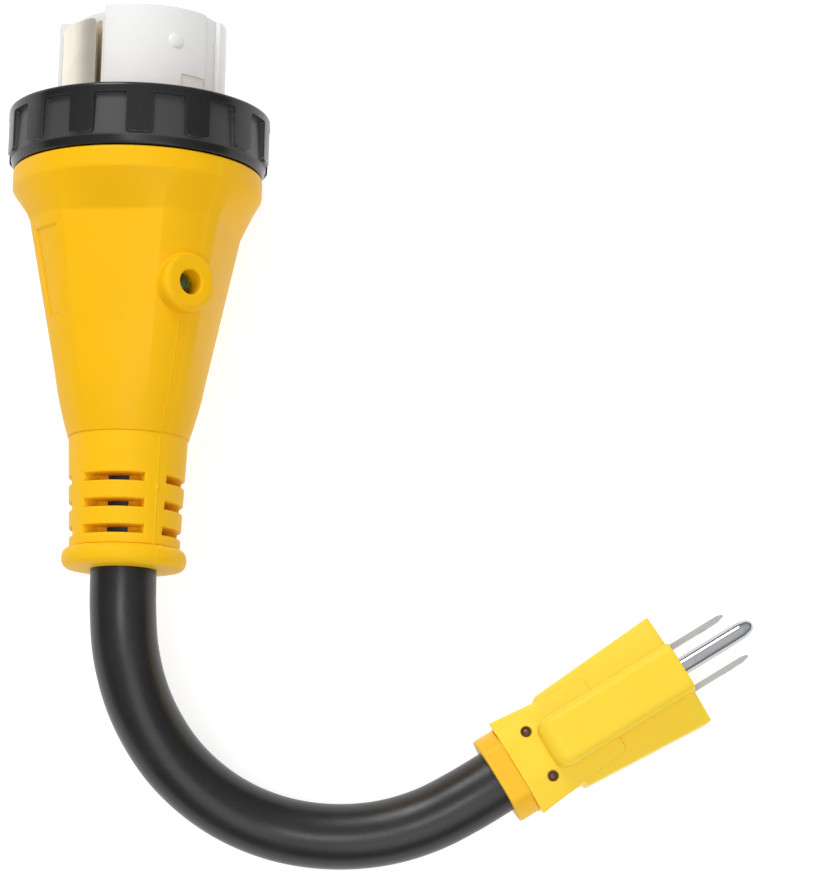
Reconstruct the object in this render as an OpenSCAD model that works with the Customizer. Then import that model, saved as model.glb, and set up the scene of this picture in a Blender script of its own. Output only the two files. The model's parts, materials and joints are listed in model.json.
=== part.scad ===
// Dogbone power adapter: a locking three-pole-and-ground connector with a captive coupling ring,
// a short round cord and a straight-blade household plug.
//
// Frame: the origin is the centre of the connector insert's front face. +Y points out of that face,
// +Z is up. The adapter lies on a surface at the coupling ring's radius below the origin.
// On the connector, "depth" is the distance behind the insert's front face, along -Y.

/* [Insert] */
// Radius of the moulded insert
insert_r = 22.5; // [20:0.1:25]
// Depth of the insert's front piece, which holds the contacts
insert_front_len = 26; // [22:0.5:29]
// Inner radius of the three contact slots
slot_in_r = 10.5; // [9:0.1:12]
// Outer radius of the three contact slots
slot_out_r = 13.2; // [12:0.1:15]
// Outer radius of the short leg on the two keyed slots
slot_leg_r = 15.8; // [14:0.1:18]
// Angle that each contact slot covers
slot_sweep = 54; // [40:1:60]
// Angle that the leg of a keyed slot covers
leg_sweep = 11; // [8:1:15]
// Inner radius of the ground pocket
pocket_r = 17.4; // [16.5:0.1:19]
// Angle that the ground pocket covers
pocket_sweep = 59; // [45:1:65]
// Depth of the two shallow keyways along the insert
keyway_depth = 1.1; // [0.5:0.1:2]
// Turn of the whole connector about its axis, measured at the first slot
key_angle = 53; // [0:1:90]

/* [Coupling ring] */
// Outer radius of the coupling ring, which is what the adapter lies on
ring_r = 35; // [32:0.5:38]
// Length of the coupling ring
ring_len = 16.1; // [14:0.1:20]
// Distance that the insert stands out of the ring
insert_out = 25; // [20:0.5:30]
// Number of grip ribs
rib_count = 14; // [10:1:20]
// Width of a grip rib
rib_w = 7; // [4:0.1:9]
// Height of a grip rib above the drum
rib_h = 0.9; // [0.5:0.1:1.5]
// Length of the plain band in front of the ribs
ring_band = 2.8; // [1.5:0.1:4]
// Thread crest radius inside the ring
thread_r = 31.2; // [30:0.1:33]
// Depth of the thread
thread_depth = 0.6; // [0.3:0.1:1]
// Thread pitch
thread_pitch = 2.4; // [1.5:0.1:3]

/* [Connector body] */
// Radius of the flange that the ring turns behind
flange_r = 30.8; // [29:0.1:31]
// Radius of the shoulder behind the ring
shoulder_r = 33.3; // [31:0.1:34]
// Radius where the steep shoulder cone ends and the handle begins
handle_r1 = 29; // [27:0.1:31]
// Radius where the handle ends and the tail cone begins
handle_r2 = 19.5; // [17:0.1:22]
// Radius of the tail where it meets the strain relief
tail_r = 16; // [14.5:0.1:18]
// Angle that one flat panel covers at the handle's widest point
flat_sweep = 56; // [40:1:60]
// Outer diameter of the indicator boss
boss_d = 15.5; // [12:0.1:18]
// Diameter of the hole over the indicator lamp
lamp_hole_d = 6.5; // [5.5:0.1:8]

/* [Strain relief] */
// Radius of the strain relief at the body
boot_r1 = 15.7; // [14:0.1:17]
// Radius of the strain relief at its end bead
boot_r2 = 14.5; // [13:0.1:16]
// Radius of the end bead
bead_r = 16.55; // [15:0.05:18]
// Width of the flexing slots
flex_slot_w = 16.4; // [10:0.1:16.4]
// Height of the flexing slots
flex_slot_h = 2.1; // [1.5:0.1:3]
// Distance between rows of flexing slots
flex_pitch = 6.8; // [5:0.1:9]

/* [Cord] */
// Diameter of the cord's jacket
cord_d = 17.5; // [15:0.1:18]
// Diameter of one insulated conductor
core_d = 5.2; // [4:0.1:6]

/* [Plug] */
// Angle of the plug's axis from +X, seen from above
plug_angle = 32.5; // [0:0.5:90]
// Length from the plug's face to the back of its cover
cover_len = 51.2; // [45:0.1:60]
// Length of the side wings behind the face
wing_len = 37.4; // [30:0.1:45]
// Width across the wings at the face
wing_w1 = 32.3; // [28:0.1:36]
// Width across the wings at their back
wing_w2 = 27.3; // [24:0.1:32]
// Width of the body behind the wings
waist_w = 25; // [22:0.1:28]
// Width of the cover at its back edge
cover_w = 27.6; // [24:0.1:30]
// Width of the ridge that holds the ground pin
ridge_w = 14.6; // [10:0.1:18]
// Length of the ridge
ridge_len = 41.8; // [30:0.1:46]
// Height of the plug's side walls
wall_h = 17.3; // [14:0.1:20]
// Height of the ridge's top above the surface the plug lies on
ridge_top = 27.2; // [25:0.1:32]
// Height of the cord's axis at the plug
cord_h = 11; // [10:0.1:14]
// Outer diameter of the collar round the cord
collar_d = 24.6; // [22:0.1:28]
// Length of the collar
collar_len = 5.8; // [4:0.1:8]

/* [Plug contacts] */
// Distance between the two flat blades
blade_pitch = 12.7; // [12.7:0.1:12.7]
// Height of a blade's section
blade_h = 6.35; // [6.35:0.01:6.5]
// Thickness of a blade
blade_t = 1.5; // [1.4:0.1:1.7]
// Length of a blade in front of the face
blade_len = 18.3; // [15:0.1:19]
// Height of the blades' middle above the surface the plug lies on
blade_z = 8.9; // [8:0.1:10]
// Distance from the blades' middle to the ground pin's axis
ground_offset = 11.9; // [11.9:0.1:11.9]
// Diameter of the ground pin
pin_d = 4.8; // [4.7:0.01:4.9]
// Length of the ground pin in front of the face
pin_len = 22.6; // [18:0.1:24]

/* [Hidden] */
$fn = 96;

gap = 0.05;                                   // clearance between pieces that are moulded together
far = 60;                                     // cutters reach past everything with this
deg_turn = 360;

// depths along the connector, behind the insert's face
ring_d0 = insert_out;                         // ring's front edge
ring_d1 = ring_d0 + ring_len;                 // ring's rear edge
flange_d0 = ring_d0 + 5.3;                    // flange's front face
flange_d1 = flange_d0 + 3.4;                  // flange's rear face
neck_r = 28.4;                                // groove that the ring's lip turns in
lip_r = neck_r + 0.4;
shoulder_d0 = ring_d1 + 0.3;
shoulder_d1 = shoulder_d0 + 5.4;
handle_d0 = 56.1;                             // shoulder cone ends
handle_d1 = 101.5;                            // handle ends
tail_d = 113;                                 // body ends, strain relief begins
boot_d = 141.5;                               // bead begins
cord_exit_d = 147.8;                          // bead ends, cord leaves
insert_rear_d1 = 38;                          // insert's rear piece ends
retain_r = 24.4;                              // insert's retaining rim
lamp_d = 75;                                  // indicator's depth

// angles about the connector's axis, anticlockwise seen from behind, 0 along +X
slot_angles = [key_angle, key_angle + 120, key_angle + 240];
ground_angle = key_angle + 89.5;
rib_angles = [for (k = [1:3]) key_angle + 90 * k];
flat_angles = [for (k = [0:3]) key_angle + 46 + 90 * k];

core_r = core_d / 2;
barrel_r = core_r + 0.9;                      // crimp barrel
barrel_d0 = 40;
barrel_d1 = 49;
contact_r = (slot_in_r + slot_out_r) / 2;
leaf_t = 0.6;                                 // contact sheet thickness

// plug: local x is along its axis with the face at 0, z is up from the surface it lies on
plug_face = [147.6, -168.9, -ring_r];
pin_z = blade_z + ground_offset;
roof_slope = 0.3;
cover_t = 1;
ridge_floor = 17.8;                           // underside of the ridge, over the base
barrel_len = 9;
pin_tail_r = 2.2;                             // ground pin inside the ridge
rivet_x = -44;
rivet_y = 6.8;
rivet_top = 20.2;
rivet_seat_r = 1.75;                          // hole that a rivet's head sits in

// The cord's axis, from inside the strain relief to inside the collar
cord_route = [[0, -120, 0], [0, -130, 0], [0, -140, 0], [0, -149, 0], [0.2, -159, -1.2],
    [1.1, -169, -3.6], [3.6, -179, -7.4], [7.7, -188, -11.8], [13.5, -196.3, -16.3],
    [21, -203.3, -20.4], [29.8, -208.8, -23.6], [39.6, -212.6, -25.6], [50, -214.6, -26.2],
    [60.8, -214.8, -26.2], [71.4, -213.2, -26.1], [81.5, -209.8, -25.6], [91, -204.8, -24.6],
    [99.5, -199.5, -24], [106.3, -195.2, -24]];

// ---- helpers ----

// Turns local +Z to -Y, so that local z is depth behind the insert's face
module behind_face() rotate([90, 0, 0]) children();

module place_plug() translate(plug_face) rotate([0, 0, plug_angle]) children();

// Ring sector about local Z, between two radii, two angles and two depths
module sector(r0, r1, a0, a1, d0, d1) {
    rotate([0, 0, a0]) rotate_extrude(angle = a1 - a0)
        translate([r0, d0]) square([r1 - r0, d1 - d0]);
}

// Sector given by its middle angle and its sweep
module arc(r0, r1, mid, sweep, d0, d1) sector(r0, r1, mid - sweep / 2, mid + sweep / 2, d0, d1);

// Radial cylinder about the connector's axis, from radius r0 outwards
module radial(angle, depth, r0, len, r) {
    rotate([0, 0, angle]) translate([r0, 0, depth]) rotate([0, 90, 0]) cylinder(h = len, r = r);
}

// Point on the connector by radius, angle and depth
function at(r, a, d) = [r * cos(a), -d, r * sin(a)];
// Radius of the handle's cone at a depth
function handle_at(d) = handle_r1 + (handle_r2 - handle_r1) * (d - handle_d0) / (handle_d1 - handle_d0);
function unit(v) = v / norm(v);
function heading(p, i) = unit(p[min(i + 1, len(p) - 1)] - p[max(i - 1, 0)]);
// Ring of n points round point c, square to direction t
function loop(c, t, r, n) = let (u = unit(cross(t, [0.02, 0, 1])), v = cross(u, t))
    [for (k = [0:n - 1]) c + r * (cos(deg_turn * k / n) * u + sin(deg_turn * k / n) * v)];

// Round tube swept along the points p
module tube(p, r, n) {
    rings = len(p);
    points = [for (i = [0:rings - 1]) each loop(p[i], heading(p, i), r, n)];
    walls = [for (i = [0:rings - 2], k = [0:n - 1]) let (j = (k + 1) % n)
        [i * n + k, i * n + j, (i + 1) * n + j, (i + 1) * n + k]];
    first = [for (k = [n - 1:-1:0]) k];
    last = [for (k = [0:n - 1]) (rings - 1) * n + k];
    polyhedron(points, concat([first, last], walls), convexity = 8);
}

// ---- connector ----

module body_profile() {
    polygon([[0, flange_d0], [flange_r - 0.3, flange_d0], [flange_r, flange_d0 + 0.3],
        [flange_r, flange_d1], [neck_r, flange_d1], [neck_r, shoulder_d0],
        [shoulder_r - 0.6, shoulder_d0], [shoulder_r, shoulder_d0 + 0.6],
        [shoulder_r, shoulder_d1 - 1], [shoulder_r - 0.4, shoulder_d1],
        [handle_r1, handle_d0], [handle_r2, handle_d1], [tail_r, tail_d], [0, tail_d]]);
}

// Inside of the body: insert seat, wiring space and cord entry
module body_cavity() {
    rotate_extrude() polygon([[0, flange_d0 - 1], [insert_r + gap, flange_d0 - 1],
        [insert_r + gap, flange_d1 + 0.2], [retain_r + 2 * gap, flange_d1 + 0.2],
        [retain_r + 2 * gap, 46], [22.4, 52], [13.4, 100], [cord_d / 2 + gap, 104.5],
        [cord_d / 2 + gap, tail_d + 1], [0, tail_d + 1]]);
}

// Cutter for one flat panel: a plane along the handle that runs out on the tail cone
module flat_cutter() {
    depth_ratio = cos(flat_sweep / 2);
    d0 = handle_d0 + 0.2;
    d1 = handle_d1 - 1.5;
    runout = 6;
    r1 = handle_at(d1) * depth_ratio;
    rotate([90, 0, 0]) linear_extrude(height = far, center = true)
        polygon([[handle_at(d0) * depth_ratio, d0], [r1, d1], [r1 + 0.5, d1 + runout],
                 [far, d1 + runout], [far, d0 + 3]]);
}

// Cutter for the shallow panel on a rib
module rib_panel_cutter() {
    panel_depth = 0.5;
    d0 = 59.5;
    d1 = 82.5;
    rotate([0, 0, -11]) rotate_extrude(angle = 22)
        polygon([[handle_at(d0) - panel_depth, d0], [handle_at(d1) - panel_depth, d1], [far, d1], [far, d0]]);
}

module boss() {
    r = boss_d / 2;
    top = handle_at(lamp_d) + 3.1;
    rotate([0, 0, key_angle]) translate([0, 0, lamp_d]) rotate([0, 90, 0]) rotate_extrude()
        polygon([[0, 15], [r, 15], [r, top - 1.5], [r - 0.45, top - 0.5], [r - 1.4, top], [0, top]]);
}

module connector_body() {
    color([0.98, 0.74, 0.08]) behind_face() difference() {
        union() {
            difference() {
                rotate_extrude() body_profile();
                for (a = flat_angles) rotate([0, 0, a]) flat_cutter();
                for (a = rib_angles) rotate([0, 0, a]) rib_panel_cutter();
            }
            boss();
        }
        body_cavity();
        radial(key_angle, lamp_d, 10, far, lamp_hole_d / 2);
    }
}

module strain_relief() {
    bore = cord_d / 2 + gap;
    row_d = 124;
    color([1, 0.77, 0.1]) behind_face() difference() {
        rotate_extrude() polygon([[bore, tail_d + gap], [boot_r1, tail_d + gap], [boot_r2, boot_d],
            [bead_r - 0.7, boot_d + 0.3], [bead_r - 0.15, boot_d + 1.4], [bead_r, boot_d + 3.1],
            [bead_r - 0.15, boot_d + 4.7], [bead_r - 0.8, boot_d + 5.8], [bead_r - 2, cord_exit_d],
            [bore, cord_exit_d]]);
        for (a = flat_angles, row = [0:2])
            rotate([0, 0, a]) translate([flex_slot_w / 2 + 0.05, -flex_slot_w / 2, row_d + row * flex_pitch])
                cube([far, flex_slot_w, flex_slot_h], center = false);
    }
}

module ring_profile() {
    drum_r = ring_r - rib_h;
    crest = thread_pitch / 4;
    thread_d = flange_d1 - 0.3;
    threads = [for (k = [0:2], p = [[0, thread_depth], [1, 0], [2, 0], [3, thread_depth]])
        [thread_r + p[1], thread_d - crest * p[0] - k * thread_pitch]];
    polygon(concat([[ring_r - 1, ring_d0], [ring_r - 0.3, ring_d0 + 0.3], [ring_r, ring_d0 + 1],
        [ring_r, ring_d0 + ring_band], [drum_r, ring_d0 + ring_band], [drum_r, ring_d1 - 2.4],
        [drum_r - 0.9, ring_d1], [lip_r, ring_d1], [lip_r, flange_d1 + 0.3],
        [thread_r + thread_depth, flange_d1 + 0.3]], threads,
        [[thread_r + thread_depth, ring_d0 + 1.6], [ring_r - 1.7, ring_d0]]));
}

// Grip rib as a radial prism with cut rear corners
module rib_prism() {
    len = ring_len - ring_band - 2.6;
    cut = 1.2;
    translate([0, 0, ring_d0 + ring_band - 0.5]) rotate([90, 0, 90]) linear_extrude(height = far)
        polygon([[-rib_w / 2, 0], [rib_w / 2, 0], [rib_w / 2, len + 0.5 - cut], [rib_w / 2 - cut, len + 0.5],
                 [cut - rib_w / 2, len + 0.5], [-rib_w / 2, len + 0.5 - cut]]);
}

module coupling_ring() {
    color([0.17, 0.17, 0.18]) behind_face() union() {
        rotate_extrude() ring_profile();
        intersection() {
            rotate_extrude() translate([ring_r - rib_h - 0.4, ring_d0 + 1]) square([rib_h + 0.4, ring_len]);
            for (k = [0:rib_count - 1]) rotate([0, 0, 85 + k * deg_turn / rib_count]) rib_prism();
        }
    }
}

// Everything that is cut into both pieces of the insert
module insert_cuts(d1) {
    keyway_r = insert_r - keyway_depth;
    arc(pocket_r, far, ground_angle, pocket_sweep, -1, d1);
    arc(keyway_r, far, key_angle - 24.5, 17, -1, d1);
    arc(keyway_r, far, key_angle + 171, 14, -1, d1);
    arc(insert_r - 0.5, far, key_angle - 7.5, 23, 18, d1 - 0.8);
}

// One curved contact slot; legged slots carry a short outward leg at their clockwise end
module contact_slot(angle, legged) {
    arc(slot_in_r, slot_out_r, angle, slot_sweep, -1, insert_front_len + 1);
    if (legged)
        sector(slot_in_r, slot_leg_r, angle - slot_sweep / 2, angle - slot_sweep / 2 + leg_sweep,
               -1, insert_front_len + 1);
}

module insert_front() {
    pip_d = 9.3;
    ring_groove = 0.4;
    color([0.93, 0.93, 0.92]) behind_face() difference() {
        union() {
            rotate_extrude() polygon([[0, 0], [insert_r - 0.7, 0], [insert_r - 0.2, 0.2],
                [insert_r, 0.7], [insert_r, insert_front_len], [0, insert_front_len]]);
            for (a = [9, 206]) radial(key_angle + a, pip_d, insert_r - 2, 2.7, 2);
        }
        insert_cuts(insert_front_len + 1);
        contact_slot(slot_angles[0], true);
        contact_slot(slot_angles[1], false);
        contact_slot(slot_angles[2], true);
        for (r = [2.4, 7.5]) arc(r, r + ring_groove, 0, deg_turn, -1, 0.3);
    }
}

module insert_rear() {
    color([0.9, 0.9, 0.88]) behind_face() difference() {
        rotate_extrude() polygon([[0, insert_front_len + gap], [insert_r, insert_front_len + gap],
            [insert_r, flange_d1 + 0.25], [retain_r, flange_d1 + 0.25], [retain_r, insert_rear_d1],
            [0, insert_rear_d1]]);
        insert_cuts(31.6);
        for (a = slot_angles) arc(contact_r - 1, contact_r + 1, a, 20, insert_front_len - 1, far);
        arc(17.6, 18.8, ground_angle, 20, 25, far);
    }
}

// Crimp barrel round a conductor, on the connector's axis at a radius and an angle
module barrel(r, a) {
    rotate([0, 0, a]) translate([r, 0, barrel_d0]) difference() {
        cylinder(h = barrel_d1 - barrel_d0, r = barrel_r);
        translate([0, 0, 1]) cylinder(h = far, r = core_r + gap);
    }
}

// Spring contact: two curved leaves, the bridge that joins them, a tail and a crimp barrel
module contact(angle) {
    sweep = slot_sweep - 3;
    leaf_d = 3;
    in_r = slot_in_r + 0.1;
    out_r = slot_out_r - 0.1;
    color([0.86, 0.7, 0.38]) behind_face() union() {
        arc(in_r, in_r + leaf_t, angle, sweep, leaf_d, insert_front_len - 1);
        arc(out_r - leaf_t, out_r, angle, sweep, leaf_d, insert_front_len - 1);
        arc(in_r, out_r, angle, sweep, insert_front_len - 1.2, insert_front_len - 0.4);
        arc(contact_r - 0.8, contact_r + 0.8, angle, 16, insert_front_len - 0.5, barrel_d0 + 0.5);
        barrel(contact_r, angle);
    }
}

module contact_x() contact(slot_angles[0]);
module contact_y() contact(slot_angles[2]);
module contact_neutral() contact(slot_angles[1]);

// Outer ground shell, in the insert's pocket, with a foot that reaches in to the spring
module ground_band() {
    color([0.91, 0.88, 0.82]) behind_face() union() {
        arc(20.8, 21.6, ground_angle, 45.4, 3.2, 31.4);
        arc(18.6, 21, ground_angle, 40, 30.6, 31.4);
    }
}

// Inner ground spring: a strip with flared sides, two half-round dimples and a crimp barrel
module ground_spring() {
    r = 17.9;
    color([0.88, 0.85, 0.79]) behind_face() union() {
        arc(r, r + leaf_t, ground_angle, 45, 3, 31.4);
        for (side = [-1, 1]) rotate([0, 0, ground_angle]) translate([0, 0, 3.1]) linear_extrude(height = 28.2)
            polygon([for (p = [[r + 0.1, 22.1], [21.2, 28.9], [21.5, 27.5], [r + 0.5, 21.2]])
                p[0] * [cos(p[1]), side * sin(p[1])]]);
        for (s = [-13, 13]) rotate([0, 0, ground_angle + s]) translate([r + leaf_t - 0.2, 0, 4])
            cylinder(h = 12, r = 0.9);
        arc(r + 0.1, r + leaf_t - 0.1, ground_angle, 16, 31, barrel_d0 + 0.5);
        barrel(r + leaf_t / 2, ground_angle);
    }
}

// Strap behind the barrels that feeds the second hot contact from the first
module jumper_strap() {
    d0 = barrel_d1 + gap;
    strap_t = 1;
    color([0.85, 0.55, 0.32]) behind_face() difference() {
        union() {
            sector(contact_r - 1.6, contact_r + 1.6, slot_angles[2] - deg_turn, slot_angles[0], d0, d0 + strap_t);
            for (a = [slot_angles[0], slot_angles[2]])
                rotate([0, 0, a]) translate([contact_r, 0, d0]) cylinder(h = strap_t, r = barrel_r);
        }
        rotate([0, 0, slot_angles[0]]) translate([contact_r, 0, d0 - 1]) cylinder(h = 3, r = core_r + gap);
    }
}

// Conductor from the cord's end to a barrel; a0 is its angle in the cord
module core(a0, r1, a1) {
    lay_r = 3.3;
    mid_a = (a0 + a1) / 2;
    tube([at(lay_r, a0, 119.9), at(lay_r, a0, 112), at(lay_r, a0, 105), at((lay_r + r1) / 2, mid_a, 84),
          at(r1, a1, 58), at(r1, a1, 53), at(r1, a1, barrel_d0 + 1.2)], core_r, 10);
}

module hot_lead() color([0.08, 0.08, 0.08]) core(30, contact_r, slot_angles[0]);
module neutral_lead() color([0.9, 0.9, 0.9]) core(250, contact_r, slot_angles[1]);
module ground_lead() color([0.1, 0.45, 0.2]) core(140, 18.2, ground_angle);

// Indicator lamp: flange, barrel and dome, pointing outwards in the boss
module lamp() {
    r = 2.5;
    seat = 18.2;
    dome = 23;
    color([0.1, 0.3, 0.15]) behind_face() rotate([0, 0, key_angle]) translate([0, 0, lamp_d])
        rotate([0, 90, 0]) union() {
            translate([0, 0, seat]) cylinder(h = 0.9, r = lamp_hole_d / 2 - 0.05);
            translate([0, 0, seat]) cylinder(h = dome - seat, r = r);
            translate([0, 0, dome]) sphere(r = r);
        }
}

resistor_a = 100;                             // angle of the lamp's series resistor
resistor_r = 12;
resistor_d0 = 62;
resistor_len = 6.5;

module lamp_leads() {
    wire_r = 0.4;
    color([0.75, 0.75, 0.76]) union() {
        tube([at(18.1, 50, lamp_d - 1), at(15.5, 48, lamp_d - 2), at(16, 30, 66), at(14, 8, 58),
              at(contact_r, 0, 50.3)], wire_r, 8);
        tube([at(18.1, 56, lamp_d + 1), at(15.5, 62, lamp_d + 1), at(13, 85, 73),
              at(resistor_r, resistor_a, 70), at(resistor_r, resistor_a, resistor_d0 + resistor_len + 0.1)],
             wire_r, 8);
        tube([at(resistor_r, resistor_a, resistor_d0 - 0.1), at(resistor_r, resistor_a, 58),
              at(8, 135, 54), at(contact_r - 3.4, slot_angles[1], 49.5)], wire_r, 8);
    }
}

module lamp_resistor() {
    color([0.8, 0.68, 0.5]) behind_face() rotate([0, 0, resistor_a])
        translate([resistor_r, 0, resistor_d0]) cylinder(h = resistor_len, r = 1.2);
}

// ---- cord ----

module cord_jacket() color([0.12, 0.12, 0.12]) tube(cord_route, cord_d / 2, 12);

// ---- plug ----

// Outline with one value per side, mirrored across the plug's axis
module mirrored_outline(p) {
    polygon(concat(p, [for (i = [len(p) - 1:-1:0]) [p[i][0], -p[i][1]]]));
}

// Section across the plug, extruded along its axis from x0 to x1
module along(x0, x1) {
    translate([x0, 0, 0]) rotate([90, 0, 90]) linear_extrude(height = x1 - x0) children();
}

// Sloping roof section up to a height over the side walls, with a chamfered underside
module roof_section(lift, flat_y) {
    side = wing_w1 / 2 + 1;
    edge = wall_h + lift - roof_slope;
    polygon([[-side, 1.2], [1.2 - side, 0], [side - 1.2, 0], [side, 1.2], [side, edge],
        [flat_y, edge + (side - flat_y) * roof_slope], [-flat_y, edge + (side - flat_y) * roof_slope],
        [-side, edge]]);
}

module base_outline() {
    mirrored_outline([[-cover_len, waist_w / 2], [-wing_len, waist_w / 2], [-wing_len, wing_w2 / 2],
                      [0, wing_w1 / 2]]);
}

module cover_outline() {
    mirrored_outline([[-cover_len, cover_w / 2], [-38, 12.4], [-24.6, 11.4], [-23.5, 10.4]]);
}

// Box centred on the plug's axis in y
module slab(x0, x1, w, z0, z1) translate([x0, -w / 2, z0]) cube([x1 - x0, w, z1 - z0]);

module blade_slots(room) {
    for (s = [-1, 1]) translate([0, s * blade_pitch / 2, 0])
        slab(-25, 1, blade_t + room, blade_z - blade_h / 2 - room / 2, blade_z + blade_h / 2 + room / 2);
}

module plug_base() {
    ridge_flat = 5;
    color([1, 0.86, 0.3]) place_plug() difference() {
        intersection() {
            linear_extrude(height = far) base_outline();
            along(-far, 1) roof_section(0, ridge_flat);
        }
        slab(-gap - ridge_len, 1, ridge_w + 2 * gap, ridge_floor, far);
        slab(-46, -14, 21, 3.2, 16.8);
        slab(-34, -20, 8, 10, far);
        translate([-far, 0, cord_h]) rotate([0, 90, 0]) cylinder(h = far - 45, r = cord_d / 2 + gap);
        slab(-14.2, -4, 21, blade_z - 5, blade_z + 5);
        blade_slots(0.1);
        for (s = [-1, 1]) translate([rivet_x, s * rivet_y, 8]) {
            cylinder(h = far, r = 1.3);
            translate([0, 0, rivet_top - 8.7]) cylinder(h = far, r = rivet_seat_r);
        }
    }
}

module plug_cover() {
    r = 3.4;
    color([1, 0.88, 0.32]) place_plug() difference() {
        union() {
            intersection() {
                linear_extrude(height = far) cover_outline();
                difference() {
                    along(-far, 1) roof_section(cover_t, 5);
                    along(-far, 1) roof_section(gap, 5);
                }
            }
            intersection() {
                along(-ridge_len, 0) polygon([[-ridge_w / 2, ridge_floor + gap], [ridge_w / 2, ridge_floor + gap],
                    [ridge_w / 2, ridge_top - r], [ridge_w / 2 - 0.7, ridge_top - 1.2],
                    [ridge_w / 2 - 2, ridge_top - 0.3], [ridge_w / 2 - r, ridge_top],
                    [r - ridge_w / 2, ridge_top], [2 - ridge_w / 2, ridge_top - 0.3],
                    [0.7 - ridge_w / 2, ridge_top - 1.2], [-ridge_w / 2, ridge_top - r]]);
                rotate([90, 0, 0]) linear_extrude(height = far, center = true)
                    polygon([[-ridge_len, 0], [1, 0], [1, far], [3 - ridge_len, far],
                             [3.4 - ridge_len, ridge_top], [1.4 - ridge_len, ridge_top - 0.8],
                             [0.3 - ridge_len, ridge_top - 2.4], [-ridge_len, ridge_top - 4]]);
                linear_extrude(height = far) mirrored_outline([[-ridge_len, ridge_w / 2 - 4],
                    [1.2 - ridge_len, ridge_w / 2 - 1.2], [4 - ridge_len, ridge_w / 2], [1, ridge_w / 2]]);
            }
        }
        slab(-34, -16, 7, 10, 24.4);
        translate([-20, 0, pin_z]) rotate([0, 90, 0]) cylinder(h = far, r = pin_tail_r + gap);
        for (s = [-1, 1]) translate([rivet_x, s * rivet_y, 8]) cylinder(h = far, r = rivet_seat_r);
    }
}

// Flattened collar round the cord
module plug_collar() {
    x0 = -cover_len - gap - collar_len;
    color([0.91, 0.75, 0.2]) place_plug() difference() {
        intersection() {
            translate([x0, 0, cord_h]) rotate([0, 90, 0]) cylinder(h = collar_len, r = collar_d / 2);
            slab(-far, 0, far, 1, 2 * cord_h - 1);
        }
        translate([-far, 0, cord_h]) rotate([0, 90, 0]) cylinder(h = far, r = cord_d / 2 + gap);
    }
}

// Two tubular rivets through the cover into the base
module plug_rivets() {
    color([0.42, 0.29, 0.22]) place_plug() for (s = [-1, 1]) translate([rivet_x, s * rivet_y, 0]) difference() {
        union() {
            translate([0, 0, 17.2]) cylinder(h = rivet_top - 17.2, r = 1.2);
            translate([0, 0, rivet_top - 0.6]) cylinder(h = 0.6, r = rivet_seat_r - 0.05);
        }
        translate([0, 0, rivet_top - 0.4]) cylinder(h = 1, r = 0.8);
    }
}

// Moulded bridge that holds the blades square to each other
module blade_bridge() {
    color([0.15, 0.15, 0.16]) place_plug() difference() {
        slab(-14.1, -4.1, 20.8, blade_z - 4.9, blade_z + 4.9);
        blade_slots(0.1);
    }
}

// Flat blade with a tapered tip, a hole and a crimp barrel; side is -1 or 1
module blade(side) {
    tail = 17;
    color([0.8, 0.78, 0.72]) place_plug() translate([0, side * blade_pitch / 2, 0]) difference() {
        union() {
            intersection() {
                slab(-tail, blade_len, blade_t, blade_z - blade_h / 2, blade_z + blade_h / 2);
                linear_extrude(height = far) mirrored_outline([[-tail, blade_t / 2],
                    [blade_len - 1.6, blade_t / 2], [blade_len, blade_t / 5]]);
            }
            translate([-tail - barrel_len + 0.5, 0, blade_z]) rotate([0, 90, 0])
                cylinder(h = barrel_len, r = barrel_r);
        }
        translate([-tail - far - 1, 0, blade_z]) rotate([0, 90, 0]) cylinder(h = far, r = core_r + gap);
        translate([11.7, 0, blade_z]) rotate([90, 0, 0]) cylinder(h = 4, r = 1.6, center = true);
    }
}

module blade_hot() blade(-1);
module blade_neutral() blade(1);

module ground_pin() {
    r = pin_d / 2;
    tail = 17;
    color([0.85, 0.86, 0.88]) place_plug() translate([0, 0, pin_z]) rotate([0, 90, 0]) difference() {
        rotate_extrude() polygon([[0, -tail], [pin_tail_r, -tail], [pin_tail_r, 0], [r, 0],
            [r, pin_len - 3.4], [r - 0.5, pin_len - 1.6], [r - 1.3, pin_len - 0.4], [r - 2, pin_len],
            [0, pin_len]]);
        translate([0, 0, -tail - 1]) cylinder(h = 7, r = 1.5);
    }
}

// Conductor inside the plug, through points given in the plug's own frame
module plug_core(p, r) place_plug() tube(p, r, 10);

module plug_hot_lead() {
    color([0.08, 0.08, 0.08])
        plug_core([[-48.6, -3, 8.5], [-44, -3.2, 8.5], [-36, -5, 8.8], [-31, -blade_pitch / 2, blade_z],
                   [-18.4, -blade_pitch / 2, blade_z]], core_r);
}

module plug_neutral_lead() {
    color([0.9, 0.9, 0.9])
        plug_core([[-48.6, 3, 8.5], [-44, 3.2, 8.5], [-36, 5, 8.8], [-31, blade_pitch / 2, blade_z],
                   [-18.4, blade_pitch / 2, blade_z]], core_r);
}

module plug_ground_lead() {
    color([0.1, 0.45, 0.2]) union() {
        plug_core([[-48.6, 0, 13.8], [-42, 0, 13.9], [-33, 0, 14.4], [-27, 0, 17.6], [-23.5, 0, 20],
                   [-20.6, 0, pin_z]], core_r - 0.4);
        place_plug() translate([-20.7, 0, pin_z]) rotate([0, 90, 0]) cylinder(h = 9, r = 1.4);
    }
}

connector_body();
strain_relief();
coupling_ring();
insert_front();
insert_rear();
contact_x();
contact_y();
contact_neutral();
ground_band();
ground_spring();
jumper_strap();
hot_lead();
neutral_lead();
ground_lead();
lamp();
lamp_leads();
lamp_resistor();
cord_jacket();
plug_base();
plug_cover();
plug_collar();
plug_rivets();
blade_bridge();
blade_hot();
blade_neutral();
ground_pin();
plug_hot_lead();
plug_neutral_lead();
plug_ground_lead();
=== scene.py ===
import bpy
import bmesh
import json
import math
import numpy as np
from mathutils import Matrix, Vector


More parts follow.
